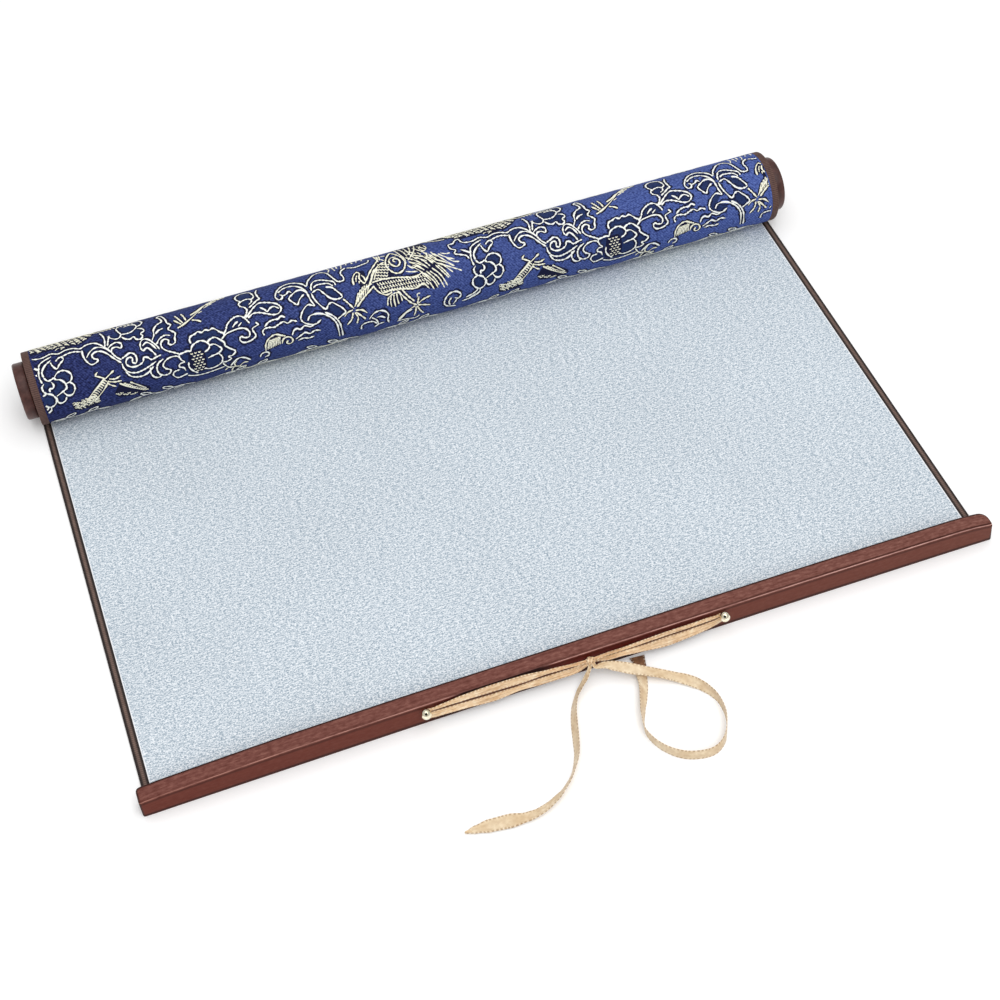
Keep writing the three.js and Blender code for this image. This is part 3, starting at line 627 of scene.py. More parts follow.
def make_ribbons():
    loose = ribbon_material("ribbon", srgb(219, 193, 157), srgb(232, 210, 176), srgb(246, 228, 198))
    # A dark brown copy of the ribbon for the loop tail's last rows, under the strands: painted shade.
    end_shade = ribbon_material("ribbon_end_shade", srgb(96, 60, 34), srgb(120, 78, 46), srgb(146, 102, 66))
    # The strands and knot take a paler, warmer copy of the ribbon than the tails: painted light, besides its
    # pleat shade.
    gathered = ribbon_material("ribbon_gathered", srgb(226, 189, 146), srgb(244, 213, 173),
                               srgb(255, 237, 207), 0.5)
    knot = make_knot(gathered)
    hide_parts("tie_knot")
    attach(knot, "rod_and_sheet")
    for name, node, stations, far_end, shaded in (
        ("hanger_ribbon_upper", "hanger_strand_upper", UPPER_STRAND, "object", -1),
        ("hanger_ribbon_lower", "hanger_strand_lower", LOWER_STRAND, "object", 1),
        ("tie_ribbon_free", "tie_tail_free", lay_tail(FREE_START, FREE_TAIL), "bare", 0),
        ("tie_ribbon_loop", "tie_tail_loop", lay_tail(LOOP_START, LOOP_TAIL), "bare", 0),
    ):
        obj, path, length = ribbon(name, stations, gathered if shaded else loose, shaded)
        # The loop tail's last rows take the painted shade.
        if name == "tie_ribbon_loop":
            obj.data.materials.append(end_shade)
            first_end_shade = len(obj.data.vertices) - 2 * RIBBON_COLUMNS * END_SHADE_ROWS
            for polygon in obj.data.polygons:
                if min(polygon.vertices) >= first_end_shade:
                    polygon.material_index = 1
        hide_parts(node)
        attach(obj, "rod_and_sheet")


# Sheet. Its open part stretches evenly between the rod and the roll, in four lengths that meet end to end.
STRETCH_END = FLAT - ROLL_R - 0.8
SHARES = (0.0, 0.5, 0.8, 0.94, 1.0)
LAST_LENGTH = len(SHARES) - 2
OUTER_STEPS = 120
INNER_STEPS = 72
EDGING_FACE_FROM = 5


def flat_stations(y_from, y_to, step=4.0):
    """Stations (y, z, inward y, inward z, way along the sheet) on the table."""
    count = max(2, int(math.ceil((y_to - y_from) / step)) + 1)
    return [(y, 0.0, 0.0, 1.0, y) for y in np.linspace(y_from, y_to, count)]


def wound_stations(radius, start_turn, turns, pitch, steps_per_turn, s_from):
    """Stations of the same kind round the roll, which step inward by the pitch at each turn."""
    steps = int(round(turns * steps_per_turn))
    stations, s = [], s_from
    for k in range(steps + 1):
        turn = turns * k / steps
        angle = 2 * math.pi * (start_turn + turn)
        r = radius - pitch * turn
        stations.append((FLAT + r * math.sin(angle), ROLL_R - r * math.cos(angle), -math.sin(angle),
                         math.cos(angle), s))
        s += 2 * math.pi * r * turns / steps
    return stations


def sheet_piece(name, section, stations, material):
    """One layer of the sheet: a section of (x, depth from the outside) carried along the stations."""
    verts, uvs = [], []
    for y, z, inward_y, inward_z, s in stations:
        for x, depth in section:
            verts.append(place(x, y + depth * inward_y, z + depth * inward_z))
            uvs.append((x, s))
    return make_mesh(name, verts, loft_faces(len(stations), len(section)), material, uvs, sharp=35)


def layer_section(low, high):
    return [(-HALF_LAYER, low), (HALF_LAYER, low), (HALF_LAYER, high), (-HALF_LAYER, high)]


def edging_section(side):
    """A strip of tape with soft corners, its outer edge a little rounder."""
    inner, outer, t = SEAM_X, HALF_SHEET, SHEET_T
    points = [(inner, 0.05), (inner + 0.2, 0), (outer - 0.4, 0), (outer - 0.1, 0.12), (outer, 0.35),
              (outer, t - 0.3), (outer - 0.1, t - 0.05), (outer - 0.4, t + 0.06), (inner + 0.3, t + 0.06),
              (inner, t - 0.02)]
    return [(side * x, d) for x, d in points]


def make_sheet_layer(name, section, material):
    """One layer in its open lengths, the last of which runs on round the roll, and its inner turns."""
    pieces = []
    for k in range(len(SHARES) - 1):
        low, high = SHARES[k] * STRETCH_END, SHARES[k + 1] * STRETCH_END
        stations = flat_stations(-TUCK if k == 0 else low, high)
        nodes = [name + "_flat"]
        label = f"{name}_open_{k + 1}"
        if k == LAST_LENGTH:
            stations += flat_stations(high, FLAT)[1:]
            stations += wound_stations(ROLL_R, 0, OUTER_SHARE, 0, OUTER_STEPS, FLAT)[1:]
            nodes.append(name + "_outer_turn")
            label = f"{name}_roll"
        piece = sheet_piece(label, section, stations, material)
        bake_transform(piece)
        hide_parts(*nodes)
        pieces.append((piece, stations[-1][4] - stations[0][4]))
    s_from = FLAT + 2 * math.pi * ROLL_R * OUTER_SHARE
    stations = wound_stations(INNER_R, OUTER_SHARE, INNER_TURNS, PITCH, INNER_STEPS, s_from)
    piece = sheet_piece(f"{name}_inner", section, stations, material)
    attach(piece, "roller")
    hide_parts(name + "_inner_turns")
    pieces.append((piece, stations[-1][4] - stations[0][4]))
    return pieces


def make_sheet():
    edging = edging_material("edging", srgb(64, 41, 36), srgb(103, 75, 67))
    edging_face = edging_material("edging_face", srgb(26, 15, 12), srgb(44, 30, 26),
                                  (srgb(84, 63, 55), srgb(122, 100, 90)))
    for label, side in (("edging_left", -1), ("edging_right", 1)):
        section = edging_section(side)
        made = make_sheet_layer(label, section, edging)
        for piece, _ in made:
            piece.data.materials.append(edging_face)
            for polygon in piece.data.polygons:
                first = min(v % len(section) for v in polygon.vertices)
                if len(polygon.vertices) == 4 and first >= EDGING_FACE_FROM:
                    polygon.material_index = 1
    for label, low, high, material in (
        ("brocade", 0.0, BROCADE_T, brocade_material()),
        ("writing_cloth", CLOTH_FROM, SHEET_T, cloth_material()),
    ):
        made = make_sheet_layer(label, layer_section(low, high), material)


# Brocade pattern, drawn in (u, v): u along the roll from its left end, v round it from the top towards the
# open sheet. The next band of repeats round the roll is shifted by half a repeat.
REPEAT_U = 240.3
REPEAT_V = math.pi * ROLL_R
ORIGIN_U = 218.0
COLUMN_DROP = 0.8
SIDE_MARGIN = 0.7
PATTERN_FROM = -REPEAT_V + 0.6
PATTERN_TO = 52.0
THREAD_SPACING = 0.7
OUTLINE_SPACING = 1.0
PATCH_ROW = 0.5
VINE_WIDTH, VINE_SHADE_WIDTH = 0.74, 2.7
GOLD_WIDTH, GOLD_SHADE_WIDTH = 0.76, 2.3
FINE_WIDTH = 0.62
END_TAPER = 0.55
WIDTH_BEAT, BEAT_PER_STEP, BEAT_PER_MM = 0.42, 37.7, 11.3
LEAF_LIFTS = [0.02]
SHADE_LIFTS = [0.05, 0.05]
VINE_LIFTS = [0.07, 0.2, 0.07]
GOLD_LIFTS = [0.08, 0.22, 0.08]

LINES = [
    # main vine and the leaves that grow from it
    [(8.3, 10.2), (7.3, 8.1), (4.1, 6.5), (1.4, 5), (2.7, 3), (0.5, 1.5), (0, -1.8), (2.9, -2.2),
     (4.6, -4.2), (6.5, -4.7), (7.8, -1.2), (11, 0), (14, 0), (18, -1.2), (22, 0.2), (26, -1), (30, -0.8),
     (33.5, 0.8), (37, -0.6), (41, -0.5), (44, 1.8), (46, 4.5), (48.5, 8), (50, 11), (52.5, 13.5)],
    [(9.8, 14.5), (9.2, 11), (10, 7), (11, 4.2), (13.5, 2.5), (18, 0.9)],
    [(11.4, 11.6), (11.2, 9), (13.5, 5.6), (17.2, 3.2)],
    [(19.6, 4.6), (21.5, 3.1), (24, 2.6), (27, 1.8), (30, 1.8), (33.5, 3)],
    [(16.8, 4.5), (17.5, 7), (19.2, 9), (21, 7), (23.8, 4.5), (22.8, 2.6)],
    [(34.2, 2.5), (34, 6), (35, 9.5), (37, 11.8), (39.5, 11.4), (41, 10.2), (39, 9), (38.4, 7), (40.5, 5.6),
     (43.5, 6), (46, 8), (49, 11.8), (52, 15)],
    [(35.4, 7.5), (38, 4.6), (41, 3), (44, 3.6), (46.5, 5.6)],
    [(47, 6), (49.5, 4), (52.5, 3.2), (54.8, 4.8), (54, 7.3), (52, 6), (49.5, 6.2), (48.8, 8.5), (50.3, 11)],
    [(45.5, -8), (46.8, -4), (47, 0), (46.2, 4)],
    [(50, -3), (48.6, 1), (47.6, 4)],
    [(5.4, 3.6), (8, 5.5), (10, 7.2)],
    # flower above the vine
    [(49, -2.5), (50.5, -0.5), (53, 1), (55, 0.5), (56, -1.5), (55, -4.5), (54.5, -8), (56.5, -11),
     (60, -12)],
    [(56, -1.5), (58, -1), (61, -1), (63.5, -2.5), (65, -4.5), (64.5, -7), (62, -8.5), (58.5, -8)],
    [(65, -4.5), (67.5, -5.5), (68.5, -8), (67, -11), (63.5, -12.5), (60, -12)],
    [(56, 0.5), (57.5, 2.5), (60, 3.5), (62, 2.5), (63, 4.5), (65.5, 5.2), (66.8, 3.4), (66, 2), (68.3, 0.4),
     (67.5, -1.5), (65.3, -2.6)],
    # scroll of leaves beside the large flower
    [(52.8, 13), (55.5, 12), (57.5, 11.2), (59.8, 12.5), (60.3, 15), (59.2, 17.2), (57.6, 16.2),
     (58.2, 14.4), (57, 13.4), (55, 14.2), (54.3, 16.5), (56.5, 18.6), (60, 18.8), (63, 17.5), (64, 15.5),
     (66, 16), (67.5, 17.6), (70.5, 17), (73, 16.6)],
    [(52.2, 15.5), (52.4, 18), (54.4, 20.8), (58, 22.2), (62, 21.8), (66, 20.6), (69.5, 19.2)],
    [(52.8, 20), (55, 23.5), (60, 25), (64, 24), (67.5, 21.5)],
    [(66, 21.5), (65.3, 24.5), (66.5, 27.5), (69, 28.6), (70.4, 27.6)],
    [(73.5, 19), (70.5, 20.5), (69, 23), (69.5, 26.5), (72, 28.2), (75, 27.8), (75.8, 26), (73.5, 24.5),
     (72.5, 22.5), (74, 20.5), (77, 19.2), (81, 19.6), (82.5, 21.5)],
    [(64.5, 12), (63.8, 9.8), (65, 6.6), (67, 5.8), (69.3, 7), (70.6, 8.8), (72, 10.8), (73.2, 13.5)],
    [(65, 9.4), (67.5, 8), (69.6, 9.6), (71.6, 13)],
    [(64.6, 12.2), (67, 11), (69, 13.2), (70.6, 16.2)],
    [(70.6, 8), (72.5, 5), (73, 2), (75.5, -1.2), (78.5, -2.8), (78, -6), (76.8, -8.5), (78.4, -9.6),
     (79.8, -7), (80.8, -3), (81, -0.5), (82.5, 1.5), (80.5, 3.8), (82, 5.5), (83.5, 7.2), (82.5, 9.8),
     (82, 12.2), (80, 12.9), (78.5, 12), (79, 10.2), (77, 9), (74.8, 10.5), (74.6, 13), (76.5, 15.2),
     (79.5, 17), (82.5, 18.8)],
    [(72.5, 10.5), (74.5, 8.2), (78, 6.9), (80.6, 7.8)],
    [(73.5, 4.6), (75.5, 3), (78, 2.4)],
    # small five-petalled flower
    [(16.5, 13.3), (18.5, 11.3), (21, 10.6), (23.5, 11.4), (25.3, 13.6), (25, 16), (23.5, 17.4),
     (21.6, 17.8)],
    [(11.3, 12), (13, 14), (15.3, 13.6), (16.5, 13.3), (17, 14.4), (19, 15), (21, 17.3), (21.2, 20),
     (18.5, 21.5), (15, 23)],
    [(23.5, 17.4), (25.2, 19.5), (25, 22), (22.8, 24.4), (20.6, 24.2), (19, 22)],
    [(14.8, 23.5), (14.6, 26), (16, 27.6), (18.6, 26.8), (19.8, 24.8)],
    [(10.5, 15), (9, 16.5), (9.3, 19), (10.5, 20.3)],
    [(14.4, 15), (15.2, 16.8), (14.2, 18.4), (12.6, 18.2), (12.4, 19.8)],
    [(10.5, 20.3), (7.6, 21.6), (6.8, 24.4), (8.2, 27), (10.8, 28.4), (13.6, 26.8), (14.2, 24), (13, 21.6),
     (10.5, 20.3)],
    [(9.5, 27.8), (8.6, 29.2), (6, 30.8), (2, 32)],
    [(10.6, 28.6), (10.2, 30.4), (7.5, 32.4), (3, 34)],
    # large layered flower
    [(89.8, 15), (89.6, 13), (90.8, 11.3), (93, 10.8), (95, 9.9), (97, 10.9), (99, 10), (101, 10.8),
     (103, 10.2), (105, 11.8), (106.2, 13.2), (108, 14.5), (107.6, 16)],
    [(88.6, 19), (90, 16.5), (92.5, 15.3), (95, 14.9), (97.5, 16.2), (99, 18.4), (98, 20.3), (95.5, 21.4)],
    [(98, 17), (100, 15.6), (102.8, 15.2), (105, 17), (107, 19.4), (106.8, 21)],
    [(99, 18.6), (101.5, 18.6), (103.6, 20.4), (104.8, 22.2), (102.5, 24), (99, 24.6), (96.5, 25.2)],
    [(106.8, 21), (109, 23.2), (111.6, 25.6), (109.5, 27.6), (107.2, 27.8), (108.5, 29.4), (106, 30.6),
     (103, 30.2)],
    [(102.5, 24), (104, 27), (103, 30.2), (100, 32), (96, 32.4), (93.5, 31)],
    [(82, 19), (85, 18.6), (87, 18.4), (88.6, 19)],
    [(82, 19), (82.4, 22), (84, 23.8), (81.5, 24), (80.5, 25.6), (82.8, 27), (83.4, 29)],
    [(80.4, 27.4), (77.5, 27.8), (76.4, 29.6), (78.5, 32.5), (82, 32), (84, 31.4)],
    [(86, 24.5), (85.6, 27.5), (87.5, 31), (89.5, 33)],
    [(84, 33), (88, 34.8), (93, 35.4), (98, 35), (104, 34)],
    [(103.5, 31), (105, 34), (107.5, 37)],
    [(107.5, 34.8), (110, 32), (113, 30.6), (116, 31.8), (118.5, 34.4)],
    # branch to the right of it
    [(106, 17.2), (109, 15.2), (113, 14.4), (117, 14.2), (120, 15.2), (121.5, 17.6), (120.6, 19.8),
     (118, 19.6), (116.4, 18.6), (115.4, 20.2), (116.8, 22), (119, 22.4), (122, 21.8), (124.3, 20.2),
     (123.6, 17.8), (123.4, 16.2), (125.4, 15.4), (127, 14.8), (126, 13.3)],
    [(108, 14.8), (109.8, 12.8), (111, 10.6), (114, 8.4), (117, 7.4), (119.5, 8), (121, 9.6), (122, 11.2),
     (122.8, 13)],
    [(113.5, 12.6), (115.5, 11), (117, 10.4)],
    [(116.5, 13), (118.8, 11.4)],
    [(121, 9.6), (122.6, 7.6), (123.6, 5.2), (122.6, 3.2), (120.8, 2), (120.4, 0), (121.5, -1.4),
     (120.2, -3.4), (119.8, -6), (121.5, -8.6), (125, -9.6), (128.2, -8), (129.2, -5), (129.4, -2.4),
     (127.6, -0.8)],
    [(120.6, -0.4), (123, -1.6), (125.6, -2), (127.6, -0.8), (127.2, 1.2), (125.4, 2.2)],
    [(125, 4.4), (128, 2.6), (130.6, 0.8), (131.8, 0.6), (131.4, -2.4), (131.2, -5.4), (132.4, -9)],
    [(122, 9.6), (124.5, 7.4), (128, 4.6), (131, 3.2), (134.5, 4), (138, 5.4), (140.6, 7.4), (141.4, 9.8),
     (139.6, 11.8), (136.6, 12), (133, 10.4), (129.5, 8.8), (126, 8.4), (123, 10)],
    [(130.6, 6), (132.8, 8), (133.6, 9.4), (136, 7.8), (138, 7.6), (140.2, 9.4)],
    # clouds and flames
    [(130, 17), (132.5, 15.2), (135.5, 14.6), (138, 14.8), (140, 13.8), (142, 15)],
    [(128.8, 21.4), (128.2, 19.6), (129.6, 18), (132.5, 18), (135, 18.6), (138, 17.6), (140.5, 17),
     (142.5, 18.4), (145, 17.6), (147.6, 18.8)],
    [(143.4, 25.6), (144.6, 23.4), (146.5, 22.6), (148.5, 23.6), (151, 22.2), (154, 23.6), (157, 22.8)],
    [(144.8, 28.6), (147.5, 27.4), (150.5, 26.2), (153, 27.6), (156, 26.6), (159, 27.4)],
    [(146, 30), (149, 29.4), (152, 30.4), (155, 30)],
    [(124, 34.4), (125, 32.4), (127.4, 31.8), (129, 33), (128.6, 35), (126.5, 35.8)],
    # spray of large leaves
    [(141.4, 4.6), (140.4, 2.4), (141.2, 0), (143, -2.6), (146, -5), (150, -5.8), (153.5, -4.4), (156.5, -2),
     (158.4, 1)],
    [(141.4, 4.6), (143.4, 4.4), (144.2, 2.4), (142.8, 1.4)],
    [(142.4, -0.2), (146, -2.4), (149.5, -2.8), (153, -1.4), (156, 1.6), (157.6, 5)],
    [(144.6, 2.8), (146.6, 2.2), (148.2, 0.8), (149.4, 2.2)],
    [(157.4, 4.6), (155, 2.2), (152.5, 2), (149.6, 3.4), (147, 5.6), (148.6, 8.4), (150.4, 10.2),
     (152.4, 7.6), (155.4, 5.4)],
    [(156.6, 3), (157.4, 6), (158, 10), (159, 13.2), (156, 11.8), (153, 13.4), (150.8, 16), (150, 18.6),
     (152, 21.2), (157, 23), (160.6, 21.4)],
    [(159.4, 6), (160, 9.6), (161.6, 13), (164.6, 16.6), (166.6, 14.6), (168.6, 14), (171, 16),
     (173.4, 18.4), (174.6, 21), (172, 22.4), (169.6, 23.6)],
    [(158.6, 0.6), (159.8, -2.6), (162, -5.4), (165, -8.4), (168.4, -9), (171.4, -6), (172.6, -2.6),
     (174, 1), (175.4, 3.2), (178.6, 3.4), (179, 1), (178.4, -1.6), (179.4, -4.2), (182, -6)],
    [(160, 4.6), (160.6, 1.6), (162.6, -1.2), (166, -1.4), (170, 0.6), (173, 2.6), (173.6, 5)],
    [(161.6, 3), (163.6, 1.8), (167, 2), (170, 2.8), (172, 5.2)],
    [(160, 5.8), (163.6, 4.8), (166, 8), (168.4, 11.4), (171.5, 13), (175, 12.4), (173, 8.6), (171, 5.8),
     (168, 4.6)],
    [(153.4, 20), (155, 18), (158.6, 17.6), (162, 18.6), (166, 21.6), (168.4, 26), (168.8, 31), (169, 36)],
    [(163.6, 18.2), (167.4, 21.2), (170, 26), (170.6, 31), (170.8, 36)],
    [(183, -5.5), (187, -4), (191, -4.6), (195, -5.6), (196, -8)],
    # clouds below the dragon
    [(186.6, 29), (189.4, 26.4), (192.6, 25.6), (195.6, 26.6), (197.4, 29.4), (196.8, 33), (197.4, 36)],
    [(188, 28.6), (190.4, 31), (191.4, 35)],
    [(181.4, 35), (182, 32), (185, 31), (188.6, 31.6), (190.6, 34)],
    [(236.4, 38), (231.4, 36), (229.6, 33), (231, 29), (234, 26.8), (237.4, 27), (239.6, 29.6), (238, 31.8),
     (235.8, 30.8)],
    [(233, 36), (232.4, 32.6), (234, 30)],
    [(234.7, 35.7), (236, 33.9), (236.9, 32.1)],
    [(202.2, 37.5), (205.5, 33.9), (208, 31.6), (211, 30.5)],
    [(202.9, 37), (207.6, 37.5), (213, 38.9), (215.1, 37)],
    [(189, 36.5), (191.6, 34.8), (194.6, 34.5)],
    [(191, 29.3), (193.3, 29.5), (195.4, 31.1)],
    [(240, 35), (244, 34.4), (248, 32)],
]

# The dragon and its claws, in gold thread.
GOLD = [
    [(85.5, 4.8), (88, 4), (92, 2), (96, -0.6), (100, -4), (104, -8), (109, -11), (115, -12)],
    [(94, -1.5), (98, -3.4), (102, -6.6), (107, -9)],
    [(86, -4.5), (87.5, -1), (89, 2.5)],
    [(89.5, -4.8), (90.5, -1.5), (91, 1.5)],
    [(84.8, -1), (86.5, 1.2), (88, 3)],
    [(94, 2.2), (96.5, 3.2), (98.5, 4.8)],
    [(41.4, 20.4), (37, 24), (33, 27), (29, 31)],
    [(43, 22.4), (40, 26), (36.4, 29.4), (33, 32.4)],
    [(36.8, 18), (39.5, 19.5), (41.4, 20.8)],
    [(38.6, 16.4), (37, 17.8)],
    [(47, 17.8), (44, 19.5), (41.5, 21)],
    [(49.5, 21.5), (46.5, 22.4), (43.5, 21.6)],
    [(49.5, 24.3), (46, 24), (43, 23)],
    [(46, 26.8), (43.5, 25.2), (42, 23.5)],
    [(48, 25.5), (52, 29), (56, 32), (60, 35)],
    [(53.5, 26.5), (57, 29.5), (61, 33.4)],
    [(127.6, 31), (128.4, 26.4), (131, 23.6), (134.5, 22.6), (137.6, 24), (139.6, 25)],
    [(137, 29), (138, 26.6), (140.4, 25.8), (142.6, 27), (143, 29.4), (141.2, 30.6), (139.6, 29.4),
     (140.6, 28)],
    [(180, 19.6), (183, 16), (187, 12.6), (190, 10.8), (192.6, 10)],
    [(181.4, 20), (185, 17), (190, 13.6), (193, 11.8)],
    [(179.4, 20.4), (177, 16.6), (175, 13.8)],
    [(180, 21.6), (183.6, 22.4), (186, 24.8)],
    [(180, 22.6), (182.4, 25.4), (184.6, 28.2)],
    [(179.4, 22.6), (180.6, 26), (179.4, 29.6)],
    [(178.4, 22.4), (177, 26), (174, 28.8)],
    [(178.6, 21), (175.6, 21.6), (173.4, 23.4)],
    [(183, 8), (183.4, 4.4), (185.4, 1.4), (187, 0.6), (188, 2), (187, 4.6), (187.6, 7), (189, 9)],
    [(189, 8.8), (192, 5), (195, 1.4), (198, -1.8), (200.4, -5), (201, -10)],
    [(191, 10.4), (194, 6.4), (197, 2.4), (200, -0.4), (203, -1.4)],
    [(193, 11.4), (194, 14), (196.4, 16.8), (199, 18), (202, 17.4)],
    [(208.6, -9.4), (205.4, -4.4), (203.6, 0), (204, 4), (206.4, 7.4), (209, 8.2), (212, 6.8), (213.8, 3.4),
     (213.4, -1), (211, -5.6), (208.6, -9.4)],
    [(210.6, -3), (208, -3.6), (206, -1.4), (206.6, 2), (209, 4), (211.4, 2), (211, -1), (209, -2),
     (208.2, -0.4), (209.2, 0.8)],
    [(193, 9.4), (199, 9.2), (206, 10.2), (212, 11.6), (217, 12.6), (221, 11.4)],
    [(197, 16.6), (203, 16.2), (209, 17.4), (215, 18.6), (220, 17)],
    [(205, 17.2), (208, 22), (211, 26), (214, 28.4)],
    [(207.6, 17.4), (210, 21.6), (213, 25.6)],
    [(214.4, 28), (218, 26), (222.4, 25)],
    [(214.6, 28.6), (218, 29.6), (221.4, 30.8)],
    [(214, 29), (215.4, 32.6), (217.4, 36)],
    [(213.4, 29), (213, 32.6), (212, 36)],
    [(213, 28.6), (208, 31), (203, 35.4)],
    [(216, 23.6), (215, 26), (214.4, 28)],
    [(44, -10.6), (52, -12.6), (53.6, -16), (48, -19.4), (36, -18.4), (20, -17.6), (4, -17.4), (-4, -19.4),
     (-7, -24.6), (-11, -26.4), (-12.4, -20), (-9.6, -13.6), (-5, -10), (0, -8.6)],
    [(-11, -26.4), (-14, -27.4), (-16, -25.6)],
    [(-10, -26.4), (-10.6, -29.4), (-9, -31)],
    [(-8, -25.6), (-5.6, -28), (-3, -27.6)],
]

# Leaves and petals whose ground is woven a little darker and greener.
PATCHES = [
    [(89.8, 15), (89.6, 13), (90.8, 11.3), (95, 10), (101, 10.6), (105, 11.8), (108, 14.5), (107, 19),
     (111.6, 25.6), (107.2, 28), (103, 30.6), (97, 33), (88, 34.5), (78.5, 32.5), (76.4, 29.6), (80.5, 26),
     (82.4, 22), (82, 19), (88.6, 18.6)],
    [(9.4, 15), (11.4, 12.4), (15.3, 13.6), (18.5, 11.3), (21, 10.6), (25.3, 13.6), (24, 17.6), (25.2, 20),
     (22.8, 24.4), (16, 27.6), (14, 24), (11, 28.4), (7, 25), (9.3, 20)],
    [(49, -2.5), (53, 1), (56.4, 1), (60, 3.5), (65.5, 5.2), (68.3, 0.4), (65.3, -2.6), (68.5, -8),
     (63.5, -12.5), (56.5, -11), (54.5, -8), (55, -4)],
    [(122, 9.6), (128, 4.6), (131, 3.2), (138, 5.4), (141.4, 9.8), (139.6, 11.8), (133, 10.4), (126, 8.4)],
    [(110, 13.4), (111, 10.6), (114, 8.4), (117, 7.4), (120.6, 9), (122, 12.6), (117, 14.2)],
    [(120.4, 0), (121.5, -1.4), (119.8, -6), (121.5, -8.6), (125, -9.6), (129.2, -5), (127.6, 0.6),
     (123.4, 3.4)],
    [(141.2, 0), (146, -5), (150, -5.8), (156.5, -2), (157.6, 4.6), (153, -1.4), (149.5, -2.8), (143, -0.4)],
    [(157.4, 4.6), (152.5, 2), (147, 5.6), (150.4, 10.2), (155.4, 5.4)],
    [(160, 5.8), (163.6, 4.8), (168.4, 11.4), (175, 12.4), (171, 5.8), (168, 4.6), (163, 4)],
    [(160.4, 3), (162.6, -1.2), (166, -1.4), (173, 2.6), (173.6, 5), (167, 2)],
    [(164.6, 16.6), (168.6, 14), (173.4, 18.4), (174.6, 21), (169.6, 23.6)],
    [(158.6, 13), (153, 13.4), (150, 18.6), (152, 21.2), (157, 23), (161, 21), (158, 17.6), (154, 19)],
    [(71, 8), (73, 2), (78.5, -2.8), (77, -8.5), (79.8, -7), (81, -0.5), (82.5, 1.5), (80.5, 3.8),
     (76, 6.6)],
    [(53, 13.6), (57.5, 11.2), (60.3, 15), (64, 15.5), (69.5, 19.2), (66, 22), (60, 25), (54.4, 22.6),
     (52.2, 17)],
    [(64, 10), (67, 5.8), (72, 10.8), (73, 16), (68, 15), (64.6, 12)],
    [(36, 9.5), (34.2, 3), (40, 0.6), (44, 3), (38.4, 6.4), (40, 10.4)],
]


def sprays():
    """Leafy sprays in the bare band between two rows of the pattern."""
    lines = []
    for u, v, side in ((22, 43.4, 1), (69, 42.4, -1), (116, 43.8, 1), (162, 42.6, -1), (209, 44, 1)):
        stem = [(u + side * (6 * k - 18), v + 1.8 * math.cos(math.pi * k / 1.5)) for k in range(7)]
        lines.append(stem)
        for k in range(1, 6):
            x, y = stem[k]
            up = 1 if k % 2 else -1
            lines.append([(x, y), (x + side * 1.6, y + up * 2.8), (x + side * 5.6, y + up * 4),
                          (x + side * 4.2, y + up * 1.2), (x, y)])
    return lines


def smooth_line(points, spacing=THREAD_SPACING):
    """Points a little apart along a soft curve through the given ones."""
    knots = [Vector((u, v, 0)) for u, v in points]
    length = sum((b - a).length for a, b in zip(knots, knots[1:]))
    count = max(4, int(length / spacing))
    return [curve_point(knots, k / count) for k in range(count + 1)]


def on_roll(u, v, lift):
    turn = v / ROLL_R
    r = ROLL_R + lift
    return place(u, FLAT - r * math.sin(turn), ROLL_R + r * math.cos(turn))


def repeats():
    """The offsets at which one repeat of the pattern is laid on the roll."""
    for row in (-1, 0, 1):
        for column in range(-2, 3):
            half_drop = REPEAT_U / 2 if row else 0
            yield column * REPEAT_U + half_drop - ORIGIN_U, row * REPEAT_V + COLUMN_DROP * column


def inside(u, v):
    return abs(u) < HALF_LAYER - SIDE_MARGIN and PATTERN_FROM < v < PATTERN_TO


class Strips:
    """Collects flat strips that follow the roll's surface."""

    def __init__(self, lifts):
        self.verts, self.faces, self.lifts = [], [], lifts

    def line(self, points, width, shift):
        """A thread along the points, its width a little uneven and its ends narrow."""
        row_before = None
        columns = len(self.lifts)
        for k, p in enumerate(points):
            u, v = p.x + shift[0], p.y + shift[1]
            if not inside(u, v):
                row_before = None
                continue
            step = points[min(k + 1, len(points) - 1)] - points[max(k - 1, 0)]
            side = Vector((-step.y, step.x, 0)).normalized()
            taper = END_TAPER if k in (0, len(points) - 1) else 1.0
            wide = width * taper * (1 + WIDTH_BEAT * math.sin(BEAT_PER_STEP * k + BEAT_PER_MM * p.x))
            row = []
            for c, lift in enumerate(self.lifts):
                off = wide * (c / (columns - 1) - 0.5)
                row.append(len(self.verts))
                self.verts.append(on_roll(u + side.x * off, v + side.y * off, lift))
            if row_before:
                for c in range(columns - 1):
                    self.faces.append((row_before[c], row_before[c + 1], row[c + 1], row[c]))
            row_before = row

    def patch(self, outline, shift):
        """A filled shape in narrow rows, so that it follows the roll."""
        low, high = min(p.y for p in outline), max(p.y for p in outline)
        limit = HALF_LAYER - SIDE_MARGIN
        for k in range(int((high - low) / PATCH_ROW)):
            v0, v1 = low + PATCH_ROW * k, low + PATCH_ROW * (k + 1)
            mid = (v0 + v1) / 2
            cuts = []
            for a, b in zip(outline, outline[1:] + outline[:1]):
                if (a.y - mid) * (b.y - mid) < 0:
                    cuts.append(a.x + (b.x - a.x) * (mid - a.y) / (b.y - a.y))
            cuts.sort()
            for left, right in zip(cuts[::2], cuts[1::2]):
                left, right = max(left + shift[0], -limit), min(right + shift[0], limit)
                if right - left < 0.2 or not (inside(0, v0 + shift[1]) and inside(0, v1 + shift[1])):
                    continue
                base = len(self.verts)
                for u, v in ((left, v0), (right, v0), (right, v1), (left, v1)):
                    self.verts.append(on_roll(u, v + shift[1], self.lifts[0]))
                self.faces.append((base, base + 1, base + 2, base + 3))


